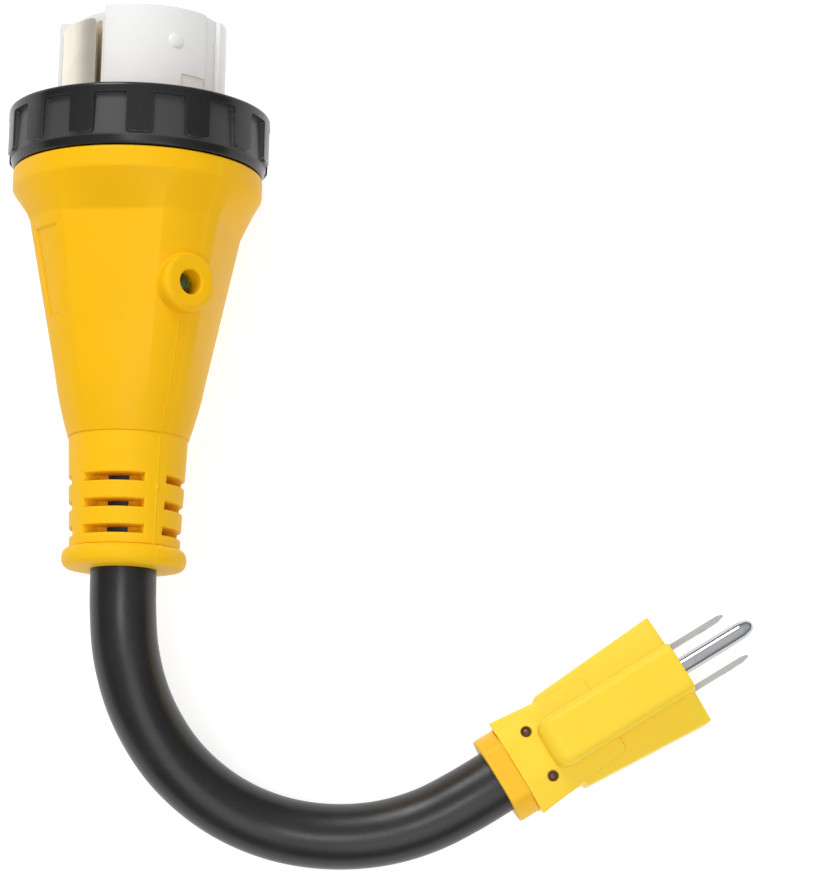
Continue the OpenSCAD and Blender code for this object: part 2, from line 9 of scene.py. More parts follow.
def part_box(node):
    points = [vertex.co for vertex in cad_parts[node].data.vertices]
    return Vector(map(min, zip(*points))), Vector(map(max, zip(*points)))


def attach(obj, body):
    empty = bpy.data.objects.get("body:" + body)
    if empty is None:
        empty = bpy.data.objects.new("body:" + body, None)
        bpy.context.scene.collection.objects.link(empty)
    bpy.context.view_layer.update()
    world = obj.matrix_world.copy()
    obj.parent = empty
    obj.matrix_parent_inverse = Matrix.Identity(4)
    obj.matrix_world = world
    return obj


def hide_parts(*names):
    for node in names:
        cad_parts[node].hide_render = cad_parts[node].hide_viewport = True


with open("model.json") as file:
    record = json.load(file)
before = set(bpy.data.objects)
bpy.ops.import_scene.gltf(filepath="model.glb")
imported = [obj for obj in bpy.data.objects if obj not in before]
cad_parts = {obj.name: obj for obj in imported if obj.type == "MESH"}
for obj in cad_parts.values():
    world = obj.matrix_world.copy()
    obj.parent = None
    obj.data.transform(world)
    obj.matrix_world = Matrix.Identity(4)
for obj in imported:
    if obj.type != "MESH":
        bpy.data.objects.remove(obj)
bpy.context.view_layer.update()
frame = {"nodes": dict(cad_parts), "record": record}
nodes = frame["nodes"]
mounts = {m["name"]: m for m in frame["record"]["mounts"]}
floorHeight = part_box("coupling_ring")[0].z
mm = 0.001

# Camera: eye in metres, angles in degrees, lens and sensor in mm
cameraPlan = {"eye": (0.0771, -0.2532, 0.8075), "elevation": 80, "roll": 1.2, "lens": 127.5, "sensor": 36}


# The view runs along +Y tilted down by the elevation, then turns about its own axis by the roll
def makeCamera(plan):
    e, roll = math.radians(plan["elevation"]), math.radians(plan["roll"])
    right, up = Vector((1, 0, 0)), Vector((0, math.sin(e), math.cos(e)))
    back = Vector((0, -math.cos(e), math.sin(e)))
    rightRolled = right * math.cos(roll) + up * math.sin(roll)
    upRolled = up * math.cos(roll) - right * math.sin(roll)
    data = bpy.data.cameras.new("camera")
    data.lens = plan["lens"]
    data.sensor_width = plan["sensor"]
    data.clip_start, data.clip_end = 0.05, 20
    camera = bpy.data.objects.new("camera", data)
    bpy.context.scene.collection.objects.link(camera)
    camera.matrix_world = (Matrix.Translation(plan["eye"])
                           @ Matrix((rightRolled, upRolled, back)).transposed().to_4x4())
    bpy.context.scene.camera = camera


makeCamera(cameraPlan)
print("camera set")


# Goes smoothly from 0 at lo to 1 at hi, as 3t squared less 2t cubed
def ramp(x, lo, hi):
    t = np.clip((x - lo) / (hi - lo), 0, 1)
    return t * t * (3 - 2 * t)


# The smaller of a and b, with their crossing rounded over a difference of k
def softMin(a, b, k):
    h = np.clip(0.5 + 0.5 * (b - a) / k, 0, 1)
    return b * (1 - h) + a * h - k * h * (1 - h)


# 1 between lo and hi, falling to 0 over a width of soft outside them
def band(x, lo, hi, soft):
    return ramp(x, lo - soft, lo) * ramp(-x, -hi - soft, -hi)


# Angle from a centre, folded to between -180 and 180 degrees
def turnFrom(theta, centre):
    return (theta - centre + 180) % 360 - 180


# The same along a circle, in mm: the angle in radians times the radius
def arcFrom(theta, centre, radius):
    return turnFrom(theta, centre) * np.pi / 180 * radius


# How far inside the ends of an arc, along its circle: the half angle less the angle from its middle
def withinArc(theta, centre, half, radius):
    return (half - np.abs(turnFrom(theta, centre))) * np.pi / 180 * radius


# Fall of a quarter circle of radius 1: one less the root of one less the share squared
def quarterFall(share):
    return 1 - np.sqrt(np.clip(1 - share ** 2, 0, 1))


# Sorted values, without those that come within a gap of the one before
def apart(values, gap):
    values = np.unique(values)
    return values[np.concatenate([[True], np.diff(values) > gap])]


# Evenly spread values from lo to hi, with extra ones at each offset from each mark
def spread(lo, hi, count, marks=(), offsets=(), wrap=False):
    extra = np.add.outer(np.asarray(marks, float), np.asarray(offsets, float)).ravel()
    if wrap:
        values = np.concatenate([np.linspace(lo, hi, count, endpoint=False), extra % 360])
    else:
        values = np.concatenate([np.linspace(lo, hi, count), extra[(extra > lo) & (extra < hi)]])
    return apart(np.round(values, 5), 0.004)


# A path through corners. Each corner becomes a parabola that starts and ends a cut away from it, and
# straight runs are divided into steps. Corners may hold one path or many at once, one per column
def roundedPath(corners, cuts, step=1.0, arc=5, closed=False):
    p = np.asarray(corners, float)
    cuts = np.broadcast_to(np.asarray(cuts, float), len(p))
    before, after = np.roll(p, 1, 0), np.roll(p, -1, 0)
    lenBefore = np.linalg.norm(before - p, axis=-1, keepdims=True) + 1e-9
    lenAfter = np.linalg.norm(after - p, axis=-1, keepdims=True) + 1e-9
    t = np.linspace(0, 1, arc).reshape((-1,) + (1,) * (p.ndim - 1))
    runs = []
    for i in range(len(p)):
        if cuts[i] <= 0 or (not closed and i in (0, len(p) - 1)):
            bend = p[i:i + 1]
        else:
            cut = np.minimum(cuts[i], 0.48 * np.minimum(lenBefore[i], lenAfter[i]))
            start = p[i] + (before[i] - p[i]) * cut / lenBefore[i]
            end = p[i] + (after[i] - p[i]) * cut / lenAfter[i]
            bend = (1 - t) ** 2 * start + 2 * t * (1 - t) * p[i] + t ** 2 * end
        runs.append(bend)
    out = []
    for i, bend in enumerate(runs):
        out.append(bend)
        if i + 1 < len(runs) or closed:
            here, there = bend[-1], runs[(i + 1) % len(runs)][0]
            count = int(np.ceil(np.max(np.linalg.norm(there - here, axis=-1)) / step))
            f = (np.arange(1, count) / max(count, 1)).reshape((-1,) + (1,) * (p.ndim - 1))
            out.append(here + (there - here) * f)
    return np.concatenate(out)


# Point on the connector from its radius, its angle in degrees and its depth behind the insert's face
def aboutAxis(radius, theta, depth):
    a = np.radians(theta)
    radius, a, depth = np.broadcast_arrays(radius, a, depth)
    return np.stack([radius * np.cos(a), -depth, radius * np.sin(a)], -1)


# Six times the volume that a grid's faces shut in, positive when they point outwards
def shutVolume(points, quads):
    a, b, c, d = (points[quads[:, k]] for k in range(4))
    halves = (b, c), (c, d)
    return float(sum((np.cross(p - a, q - a) * (a + p + q)).sum() for p, q in halves))


# pieces made here, each with its record slot
dressed = []


# Makes one mesh object from grids of points in millimetres. Each face joins four neighbouring points.
# A grid may close on itself by rows or by columns, and points that fall together are merged, which
# closes the poles. A grid that shuts in a negative volume is turned the right way out
def surfacePiece(name, grids, slot, body="adapter", replaces=(), sharp=40, uv=None):
    verts, faces, start = [], [], 0
    for points, wrapRows, wrapCols in grids:
        rows, cols = points.shape[:2]
        index = np.arange(rows * cols).reshape(rows, cols)
        if wrapRows:
            index = np.vstack([index, index[:1]])
        if wrapCols:
            index = np.hstack([index, index[:, :1]])
        quads = np.stack([index[:-1, :-1], index[:-1, 1:], index[1:, 1:], index[1:, :-1]], -1).reshape(-1, 4)
        flat = points.reshape(-1, 3)
        if shutVolume(flat, quads) < 0:
            quads = quads[:, ::-1]
        verts.append(flat)
        faces.append(quads + start)
        start += rows * cols
    verts, faces = np.concatenate(verts) * mm, np.concatenate(faces)
    mesh = bpy.data.meshes.new(name)
    mesh.vertices.add(len(verts))
    mesh.vertices.foreach_set("co", verts.astype(np.float32).ravel())
    mesh.loops.add(faces.size)
    mesh.loops.foreach_set("vertex_index", faces.astype(np.int32).ravel())
    mesh.polygons.add(len(faces))
    mesh.polygons.foreach_set("loop_start", np.arange(0, faces.size, 4, dtype=np.int32))
    mesh.update(calc_edges=True)
    if uv is not None:
        layer = mesh.uv_layers.new(name="alongAndRound")
        layer.data.foreach_set("uv", uv.reshape(-1, 2)[faces.ravel()].astype(np.float32).ravel())
    work = bmesh.new()
    work.from_mesh(mesh)
    bmesh.ops.remove_doubles(work, verts=work.verts, dist=2e-6)
    bmesh.ops.dissolve_degenerate(work, edges=work.edges, dist=1e-6)
    work.to_mesh(mesh)
    work.free()
    mesh.shade_smooth()
    mesh.set_sharp_from_angle(angle=math.radians(sharp))
    piece = bpy.data.objects.new(name, mesh)
    bpy.context.scene.collection.objects.link(piece)
    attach(piece, body)
    if replaces:
        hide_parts(*replaces)
    dressed.append((piece, slot))
    return piece


# Cord: route and width in mm, exit in metres
cordPlan = {
    "diameter": 17.5, "sides": 56, "ringStep": 1.1, "exit": (0, -0.1478, 0),
    # the axis of the cord in mm, from inside the strain relief to inside the collar
    "route": [[0, -120, 0], [0, -130, 0], [0, -140, 0], [0, -149, 0], [0.2, -159, -1.2], [1.1, -169, -3.6],
              [3.6, -179, -7.4], [7.7, -188, -11.8], [13.5, -196.3, -16.3], [21, -203.3, -20.4],
              [29.8, -208.8, -23.6], [39.6, -212.6, -25.6], [50, -214.6, -26.2], [60.8, -214.8, -26.2],
              [71.4, -213.2, -26.1], [81.5, -209.8, -25.6], [91, -204.8, -24.6], [99.5, -199.5, -24],
              [106.3, -195.2, -24]],
}


# Smooth line through points: between two of them, the cubic whose end slopes are half the chord
# between their neighbours. It is then divided into equal lengths
def smoothLine(points, step):
    p = np.asarray(points, float)
    ends = np.vstack([2 * p[0] - p[1], p, 2 * p[-1] - p[-2]])
    t = np.linspace(0, 1, 24, endpoint=False)[:, None]
    a, b, c, d = (ends[k:len(ends) - 3 + k, None] for k in range(4))
    line = 0.5 * (2 * b + (c - a) * t + (2 * a - 5 * b + 4 * c - d) * t ** 2
                  + (3 * b - a - 3 * c + d) * t ** 3)
    line = np.vstack([line.reshape(-1, 3), p[-1:]])
    along = np.concatenate([[0], np.cumsum(np.linalg.norm(np.diff(line, axis=0), axis=1))])
    even = np.linspace(0, along[-1], int(along[-1] / step) + 1)
    return np.stack([np.interp(even, along, line[:, k]) for k in range(3)], -1), even


# A round tube along a line: at each point a ring square to the line, measured from the upright. The
# jacket is very slightly uneven, by two slow waves of a few hundredths of a millimetre
def makeCord(plan):
    line, along = smoothLine(plan["route"], plan["ringStep"])
    heading = np.gradient(line, axis=0)
    heading /= np.linalg.norm(heading, axis=1, keepdims=True)
    side = np.cross(heading, [0.02, 0, 1])
    side /= np.linalg.norm(side, axis=1, keepdims=True)
    rise = np.cross(side, heading)
    a = np.linspace(0, 2 * math.pi, plan["sides"], endpoint=False)
    wave = np.sin(along / 9)[:, None] * np.cos(3 * a + along[:, None] / 40)
    radius = plan["diameter"] / 2 - 0.03 + 0.02 * wave
    ring = (line[:, None] + radius[..., None]
            * (np.cos(a)[:, None] * side[:, None] + np.sin(a)[:, None] * rise[:, None]))
    capStart = line[0] + (ring[0] - line[0]) * np.array([0, 0.5])[:, None, None]
    capEnd = line[-1] + (ring[-1] - line[-1]) * np.array([0.5, 0])[:, None, None]
    tube = np.concatenate([capStart, ring, capEnd])
    allAlong = np.concatenate([[0, 0], along, [along[-1]] * 2])
    u, v = np.meshgrid(allAlong * mm, a / (2 * math.pi), indexing="ij")
    cord = surfacePiece("cord", [(tube, False, True)], replaces=["cord_jacket"], slot="cord_rubber",
                        uv=np.stack([u, v], -1))
    return cord, line * mm, along[-1] * mm


cord, cordPath, cordLength = makeCord(cordPlan)
print("cord made", round(cordLength, 4), "m")

# Body, in mm and degrees: each outline part gives its radii and its depths behind the face
bodyPlan = {
    "flange": (30.8, 30.3, 33.7), "neck": 28.4, "shoulder": (33.3, 41.4, 46.8),
    "handle": (29, 56.1, 19.5, 101.5), "tail": (16, 113), "bore": 22.55,
    "flatAngles": [99, 189, 279, 9], "flatHalf": 28, "flatTop": 56.6,
    "flatFade": [(57, 0.85), (90, 0.6), (109.5, 0)], "skin": (46, 112.5),
    "ribAngles": [143, 233, 323], "ribHalf": 11, "ribPanel": (59.5, 82.5, 0.5),
    "partingAngles": [53, 233], "partingHeight": 0.09, "lampAngle": 53, "lampDepth": 75,
    "boss": (7.75, 28.2, 3.25, 20.5), "bossSkirt": 1.5,
}


# Radius of the body's plain outline at a depth: straight runs between the shoulder, handle and tail
def handleRadius(depth):
    sR, _, s1 = bodyPlan["shoulder"]
    r1, d1, r2, d2 = bodyPlan["handle"]
    tailR, tailD = bodyPlan["tail"]
    return np.interp(depth, [s1, d1, d2, tailD], [sR, r1, r2, tailR])


# Radius after the flats are cut: the softened smaller of the radius and of a plane's distance over the
# cosine of the angle from its middle. A steeper plane leads up to the shoulder, and the cut
# weakens down the handle until it is gone
def withFlats(radius, t, d, plan):
    sR, _, s1 = plan["shoulder"]
    r1, d1, r2, d2 = plan["handle"]
    depthRatio = math.cos(math.radians(plan["flatHalf"]))
    top = plan["flatTop"]
    plane = (r1 + (np.maximum(d, top) - d1) * (r2 - r1) / (d2 - d1)) * depthRatio
    weight = np.interp(d, *np.array(plan["flatFade"]).T) * (d > s1)
    for a in plan["flatAngles"]:
        off = turnFrom(t, a)
        flat = plane / np.cos(np.radians(np.clip(off, -60, 60)))
        slope = sR + (flat - sR) * np.clip((d - s1) / (top - s1), 0, 1)
        cut = radius + weight * (softMin(radius, slope, 0.14) - radius)
        radius = np.where(np.abs(off) < 45, cut, radius)
    return radius


# Outline turned about the axis, then the flats. Shallow panels are taken off the ribs, a fine raised
# line follows the mould's parting, and a pit is left under the boss
def makeBody(plan):
    fR, f0, f1 = plan["flange"]
    sR, s0, s1 = plan["shoulder"]
    r1, d1, r2, d2 = plan["handle"]
    tailR, tailD = plan["tail"]
    bore = plan["bore"]
    outer = roundedPath([[bore, f0], [fR, f0], [fR, f1], [plan["neck"], f1], [plan["neck"], s0], [sR, s0],
                         [sR, s1], [r1, d1], [r2, d2], [tailR, tailD], [8.8, tailD]],
                        [0, 0.5, 0.5, 0.2, 0.2, 1.0, 0.8, 0.3, 3.0, 0.06, 0], step=0.9)
    panelEdges = [58.9, 59.2, 59.35, 59.5, 59.65, 59.8, 60.1, 81.9, 82.2, 82.35, 82.5, 82.65, 82.8, 83.1]
    fine = np.concatenate([np.arange(46.2, 47.6, 0.15), np.arange(55.5, 58.6, 0.15), panelEdges,
                           np.arange(98, 112, 0.5)])
    on = (outer[:, 1] > plan["skin"][0]) & (outer[:, 1] < plan["skin"][1])
    depths = apart(np.round(np.concatenate([outer[on, 1], fine]), 3), 0.05)
    first, last = np.flatnonzero(on)[[0, -1]]
    skin = np.stack([np.interp(depths, outer[on, 1], outer[on, 0]), depths], -1)
    outer = np.vstack([outer[:first], skin, outer[last + 1:]])
    inner = roundedPath([[8.8, tailD - 0.2], [8.8, 104.5], [13.4, 100], [22.4, 52], [24.5, 46], [24.5, 33.9],
                         [bore, 33.9], [bore, f0 + 0.3]], 0, step=6)
    theta = spread(0, 360, 240, [a + s * plan["flatHalf"] for a in plan["flatAngles"] for s in (-1, 1)]
                   + [a + s * plan["ribHalf"] for a in plan["ribAngles"] for s in (-1, 1)]
                   + plan["partingAngles"], [-1.6, -0.9, -0.6, -0.3, 0, 0.3, 0.6, 0.9, 1.6], wrap=True)
    extra = spread(plan["lampAngle"] - 16, plan["lampAngle"] + 16, 46)
    theta = apart(np.concatenate([theta, extra]), 0.12)
    r, d = outer[:, :1], outer[:, 1:]
    t = theta[None, :]
    onHandle = ((d > d1 - 0.8) & (d < tailD - 0.4)).astype(float)
    onShell = np.arange(len(outer))[:, None] < len(outer) - 3
    radius = np.broadcast_to(r, (len(r), len(theta))).copy()
    radius = np.where(onShell, withFlats(radius, t, d, plan), radius)
    p0, p1, sink = plan["ribPanel"]
    for a in plan["ribAngles"]:
        across = arcFrom(t, a, r)
        half = plan["ribHalf"] * np.pi / 180 * r
        panel = onHandle * band(d, p0 + 0.3, p1 - 0.3, 0.3) * band(across, 0.3 - half, half - 0.3, 0.3)
        radius = radius - sink * panel
    for a in plan["partingAngles"]:
        across = arcFrom(t, a, r)
        start = 83.5 if a == plan["lampAngle"] else 83
        line = np.exp(-(across / 0.2) ** 2) * onHandle * ramp(d, start, start + 1.5)
        radius = radius + plan["partingHeight"] * line
    across = arcFrom(t, plan["lampAngle"], r)
    fromLamp = np.hypot(across, d - plan["lampDepth"])
    pit = 1 - ramp(fromLamp, 5.2, 6.0)
    radius = radius * (1 - pit * onHandle) + np.minimum(radius, 19.9) * pit * onHandle
    outside = aboutAxis(radius, t, d)
    inside = aboutAxis(inner[:, :1], t, inner[:, 1:])
    return surfacePiece("body", [(np.concatenate([outside, inside]), True, True)],
                        replaces=["connector_body"], slot="connector_vinyl", sharp=50)


# The boss is turned about a radial line: floor, hole, rounded rim and side, then a fillet that ends on
# the handle, whose height over the line is the root of radius squared less offset squared
def makeBoss(plan):
    bossR, top, holeR, floor = plan["boss"]
    skirt = plan["bossSkirt"]
    phi = np.linspace(0, 2 * math.pi, 128, endpoint=False)

    def skinAt(rho):
        depth, across = plan["lampDepth"] + rho * np.cos(phi), rho * np.sin(phi)
        radius = handleRadius(depth)
        for _ in range(4):
            turn = plan["lampAngle"] + np.degrees(np.arcsin(across / radius))
            radius = withFlats(handleRadius(depth), turn, depth, plan)
        return np.sqrt(radius ** 2 - across ** 2)

    def ringOf(rho, height):
        return np.stack([np.full_like(phi, rho), np.broadcast_to(height, phi.shape)], -1)

    low = np.minimum(skinAt(bossR), top - 0.9)
    corners = np.stack([ringOf(0, floor), ringOf(holeR, floor), ringOf(holeR, top), ringOf(bossR, top),
                        ringOf(bossR, low), ringOf(bossR + skirt, skinAt(bossR + skirt) - 0.04),
                        ringOf(bossR + skirt + 0.2, skinAt(bossR + skirt + 0.2) - 0.4),
                        ringOf(bossR, skinAt(bossR) - 1.6),
                        ringOf(4.3, skinAt(4.3) - 1.8), ringOf(4.3, 20.15), ringOf(0, 20.1)])
    path = roundedPath(corners, [0, 0.3, 0.7, 2.4, 0.9, 0.1, 0.1, 0, 0, 0, 0], step=0.7, arc=9)
    rho, height = path[..., 0], path[..., 1]
    a = math.radians(plan["lampAngle"])
    depth, across = plan["lampDepth"] + rho * np.cos(phi), rho * np.sin(phi)
    points = np.stack([height * math.cos(a) - across * math.sin(a), -depth,
                       height * math.sin(a) + across * math.cos(a)], -1)
    return surfacePiece("lampBoss", [(points, False, True)], slot="connector_vinyl", sharp=50)


makeBody(bodyPlan)
makeBoss(bodyPlan)
print("connector body made")

# Strain relief: start, end and bead are a radius and a depth each
reliefPlan = {
    "start": (15.75, 113.01), "end": (14.5, 142.7), "bead": (16.4, 147.8), "inner": 8.0,
    "slotRows": [124, 130.8, 137.6], "slotHeight": 2.1, "slotHalf": 8.2, "slotFloor": 8.25,
    "slotAngles": [99, 189, 279, 9], "partingAngles": [53, 233],
}


# Outline turned about the axis, with a rounded bead at its end. Where a slot runs across it, the radius
# falls to the slot's flat floor, whose radius is its distance over the cosine of the angle from its middle
def makeRelief(plan):
    (r1, d1), (r2, d2), (beadR, end) = plan["start"], plan["end"], plan["bead"]
    half, mid = (end - d2 + 0.3) / 2, (end + d2 - 0.3) / 2
    u = np.linspace(-1, 1, 31)
    bead = np.stack([r2 - 0.2 + (beadR - r2 + 0.2) * (1 - np.abs(u) ** 2.2) ** (1 / 2.2), mid + half * u], -1)
    outer = roundedPath([[plan["inner"], d1], [r1, d1], [r2, d2 - 0.4]], [0, 0.1, 0], step=0.8, arc=7)
    outer = np.vstack([outer, bead, [[plan["inner"], end]]])
    edges = np.concatenate([[s, s + plan["slotHeight"]] for s in plan["slotRows"]])
    fine = np.add.outer(edges, [-0.35, -0.2, -0.08, 0, 0.08, 0.2]).ravel()
    on = (outer[:, 1] > d1 + 0.6) & (outer[:, 1] < d2 - 0.7)
    depths = apart(np.round(np.concatenate([outer[on, 1], fine, np.arange(126, 129, 0.25)]), 3), 0.05)
    first, last = np.flatnonzero(on)[[0, -1]]
    skin = np.stack([np.interp(depths, [d1, d2], [r1, r2]), depths], -1)
    outer = np.vstack([outer[:first], skin, outer[last + 1:]])
    inner = np.array([[plan["inner"], d] for d in (end - 4, 135, 125, d1 + 4)])
    half = math.degrees(math.asin(plan["slotHalf"] / 15))
    theta = spread(0, 360, 180, [a + s * half for a in plan["slotAngles"] for s in (-1, 1)],
                   [-1.6, -0.9, -0.5, -0.2, 0, 0.2, 0.5, 0.9, 1.6], wrap=True)
    seams = np.add.outer(plan["partingAngles"], [-0.9, -0.4, 0.4, 0.9]).ravel()
    theta = np.unique(np.concatenate([theta, seams]))
    r, d, t = outer[:, :1], outer[:, 1:], theta[None, :]
    radius = np.broadcast_to(r, (len(r), len(theta))).copy()
    plain = radius.copy()
    for a in plan["slotAngles"]:
        off = turnFrom(t, a)
        across = np.sin(np.radians(np.clip(off, -89, 89))) * plain
        side = plan["slotHalf"] - np.abs(across)
        side = np.where(np.abs(off) < 60, side, -1)
        floor = plan["slotFloor"] / np.cos(np.radians(np.clip(off, -60, 60)))
        for s in plan["slotRows"]:
            inside = np.minimum(side, np.minimum(d - s, s + plan["slotHeight"] - d))
            deep = ramp(inside, -0.02, 0.08)
            lip = 0.16 * ramp(inside, -0.35, 0)
            radius = np.minimum(radius, (plain - lip) * (1 - deep) + floor * deep)
    for a in plan["partingAngles"]:
        across = arcFrom(t, a, r)
        line = 0.12 * np.exp(-(across / 0.2) ** 2) * band(d, d1 + 1, end - 1.5, 0.6)
        nick = 0.5 * np.clip(1 - np.abs(across) / 0.5, 0, 1) * band(d, 127, 127.7, 0.3)
        radius = radius + line + nick
    outside = aboutAxis(radius, t, d)
    inside = aboutAxis(inner[:, :1], t, inner[:, 1:])
    return surfacePiece("strainRelief", [(np.concatenate([outside, inside]), True, True)],
                        replaces=["strain_relief"], slot="relief_vinyl", sharp=50)


makeRelief(reliefPlan)
print("strain relief made")

# Ring: chamfer is depth and radius, lip radius and depth, mouth two radii and a depth, and thread
# the middle radius, height and pitch
ringPlan = {
    "front": 25, "rear": 41.1, "drum": 34.1, "ribHeight": 0.9, "bandEnd": 27.8, "ribs": 14, "firstRib": 85,
    "ribHalf": 3.5, "ribEnd": 38.5, "ribCorner": 1.3, "fieldDraft": 0.6,
    "chamfer": (38.7, 33.2), "lip": (28.8, 34.0), "thread": (31.5, 0.3, 2.4), "mouth": (33.3, 31.8, 26.6),
}


# Outline turned about the axis. Ribs and the front band are raised where a signed distance to a rounded
# box, or to the band's edge, is below zero, and the fields between fall towards the front. The thread
# is a wave of depth plus a turn per pitch
def makeRing(plan):
    front, rear, drum = plan["front"], plan["rear"], plan["drum"]
    mouthR, boreR, mouthD = plan["mouth"]
    lipR, lipD = plan["lip"]
    chamferD, rearR = plan["chamfer"]
    skinRows = spread(front + 1.0, chamferD - 0.35, 20, [plan["bandEnd"], plan["ribEnd"] - 1.0],
                      [-0.5, -0.3, -0.18, -0.08, 0, 0.08, 0.18, 0.3, 0.5, 0.7, 0.9])
    nose = roundedPath([[mouthR, front], [drum, front], [drum, front + 1.0]], [0, 0.8, 0], step=0.4, arc=7)
    tail = roundedPath([[drum, chamferD - 0.3], [drum, chamferD], [rearR, rear], [lipR, rear]],
                       [0, 0.25, 0.45, 0.3], step=0.6)
    skin = np.stack([np.full_like(skinRows, drum), skinRows], -1)
    outer = np.vstack([nose[:-1], skin, tail[1:]])
    bore = roundedPath([[lipR, rear - 0.1], [lipR, lipD], [boreR, lipD], [boreR, mouthD],
                        [mouthR, front + 0.05]], [0.3, 0.25, 0.1, 0.1, 0], step=0.22)
    ribTurn = 360 / plan["ribs"]
    ribAt = plan["firstRib"] + ribTurn * np.arange(plan["ribs"])
    edge = math.degrees(plan["ribHalf"] / drum)
    theta = spread(0, 360, 168, np.concatenate([ribAt - edge, ribAt + edge]),
                   [-1.5, -1.0, -0.6, -0.35, -0.15, 0, 0.15, 0.35, 0.6, 1.0, 1.5], wrap=True)
    r, d, t = outer[:, :1], outer[:, 1:], theta[None, :]
    across = np.abs((t - plan["firstRib"] + ribTurn / 2) % ribTurn - ribTurn / 2) * np.pi / 180 * drum
    c = plan["ribCorner"]
    qx, qy = across - plan["ribHalf"] + c, d - plan["ribEnd"] + c
    ribGap = np.hypot(np.maximum(qx, 0), np.maximum(qy, 0)) + np.minimum(np.maximum(qx, qy), 0) - c
    gapTo = softMin(ribGap, d - plan["bandEnd"] + 0 * t, 0.5)
    lift = plan["ribHeight"] * ramp(-gapTo, -0.02, 0.14) * ramp(d, front - 0.02, front + 0.02)
    noseCut = 0.9 * quarterFall(1 - np.clip((d - front) / 0.9, 0, 1))
    isOuter = ((r > drum - 1.2) & (d < chamferD + 0.3)).astype(float)
    draft = plan["fieldDraft"] * np.clip((plan["ribEnd"] - d) / (plan["ribEnd"] - plan["bandEnd"]), 0, 1)
    draft = draft * (1 - ramp(-gapTo, -0.1, 0.02)) * (d > plan["bandEnd"] - 1)
    outside = aboutAxis(r + (lift - draft - noseCut * lift / 0.9) * isOuter, t, d)
    br, bd = bore[:, :1], bore[:, 1:]
    mid, high, pitch = plan["thread"]
    wave = np.clip(1.8 * np.cos(2 * np.pi * (bd / pitch + t / 360)), -1, 1)
    inThread = band(bd, mouthD + 0.5, lipD - 0.6, 0.4) * (br > lipR + 1.5)
    inside = aboutAxis(br - inThread * (boreR - mid - high * wave), t, bd)
    return surfacePiece("couplingRing", [(np.concatenate([outside, inside]), True, True)],
                        body="coupling_ring", replaces=["coupling_ring"], slot="ring_nylon", sharp=50)


makeRing(ringPlan)
print("coupling ring made")

# Insert: pocket is radius, middle and half angle; keyways are middle and half angle; recess is middle
# and half angle, first depth and sink
insertPlan = {
    "radius": 22.5, "length": 26, "pitDepth": 25.7, "slotAngles": [53, 173, 293],
    "legged": [True, False, True],
    "slotHalf": 27, "slotRadii": (10.5, 13.2), "leg": (15.8, 11), "pocket": (17.4, 142.5, 29.5),
    "keyways": [(28.5, 8.5), (224, 7)], "keyDepth": 1.1, "recess": (45.5, 11.5, 18, 0.5),
    "pips": [62, 259], "pipDepth": 9.3, "grooves": [2.6, 7.7],
}


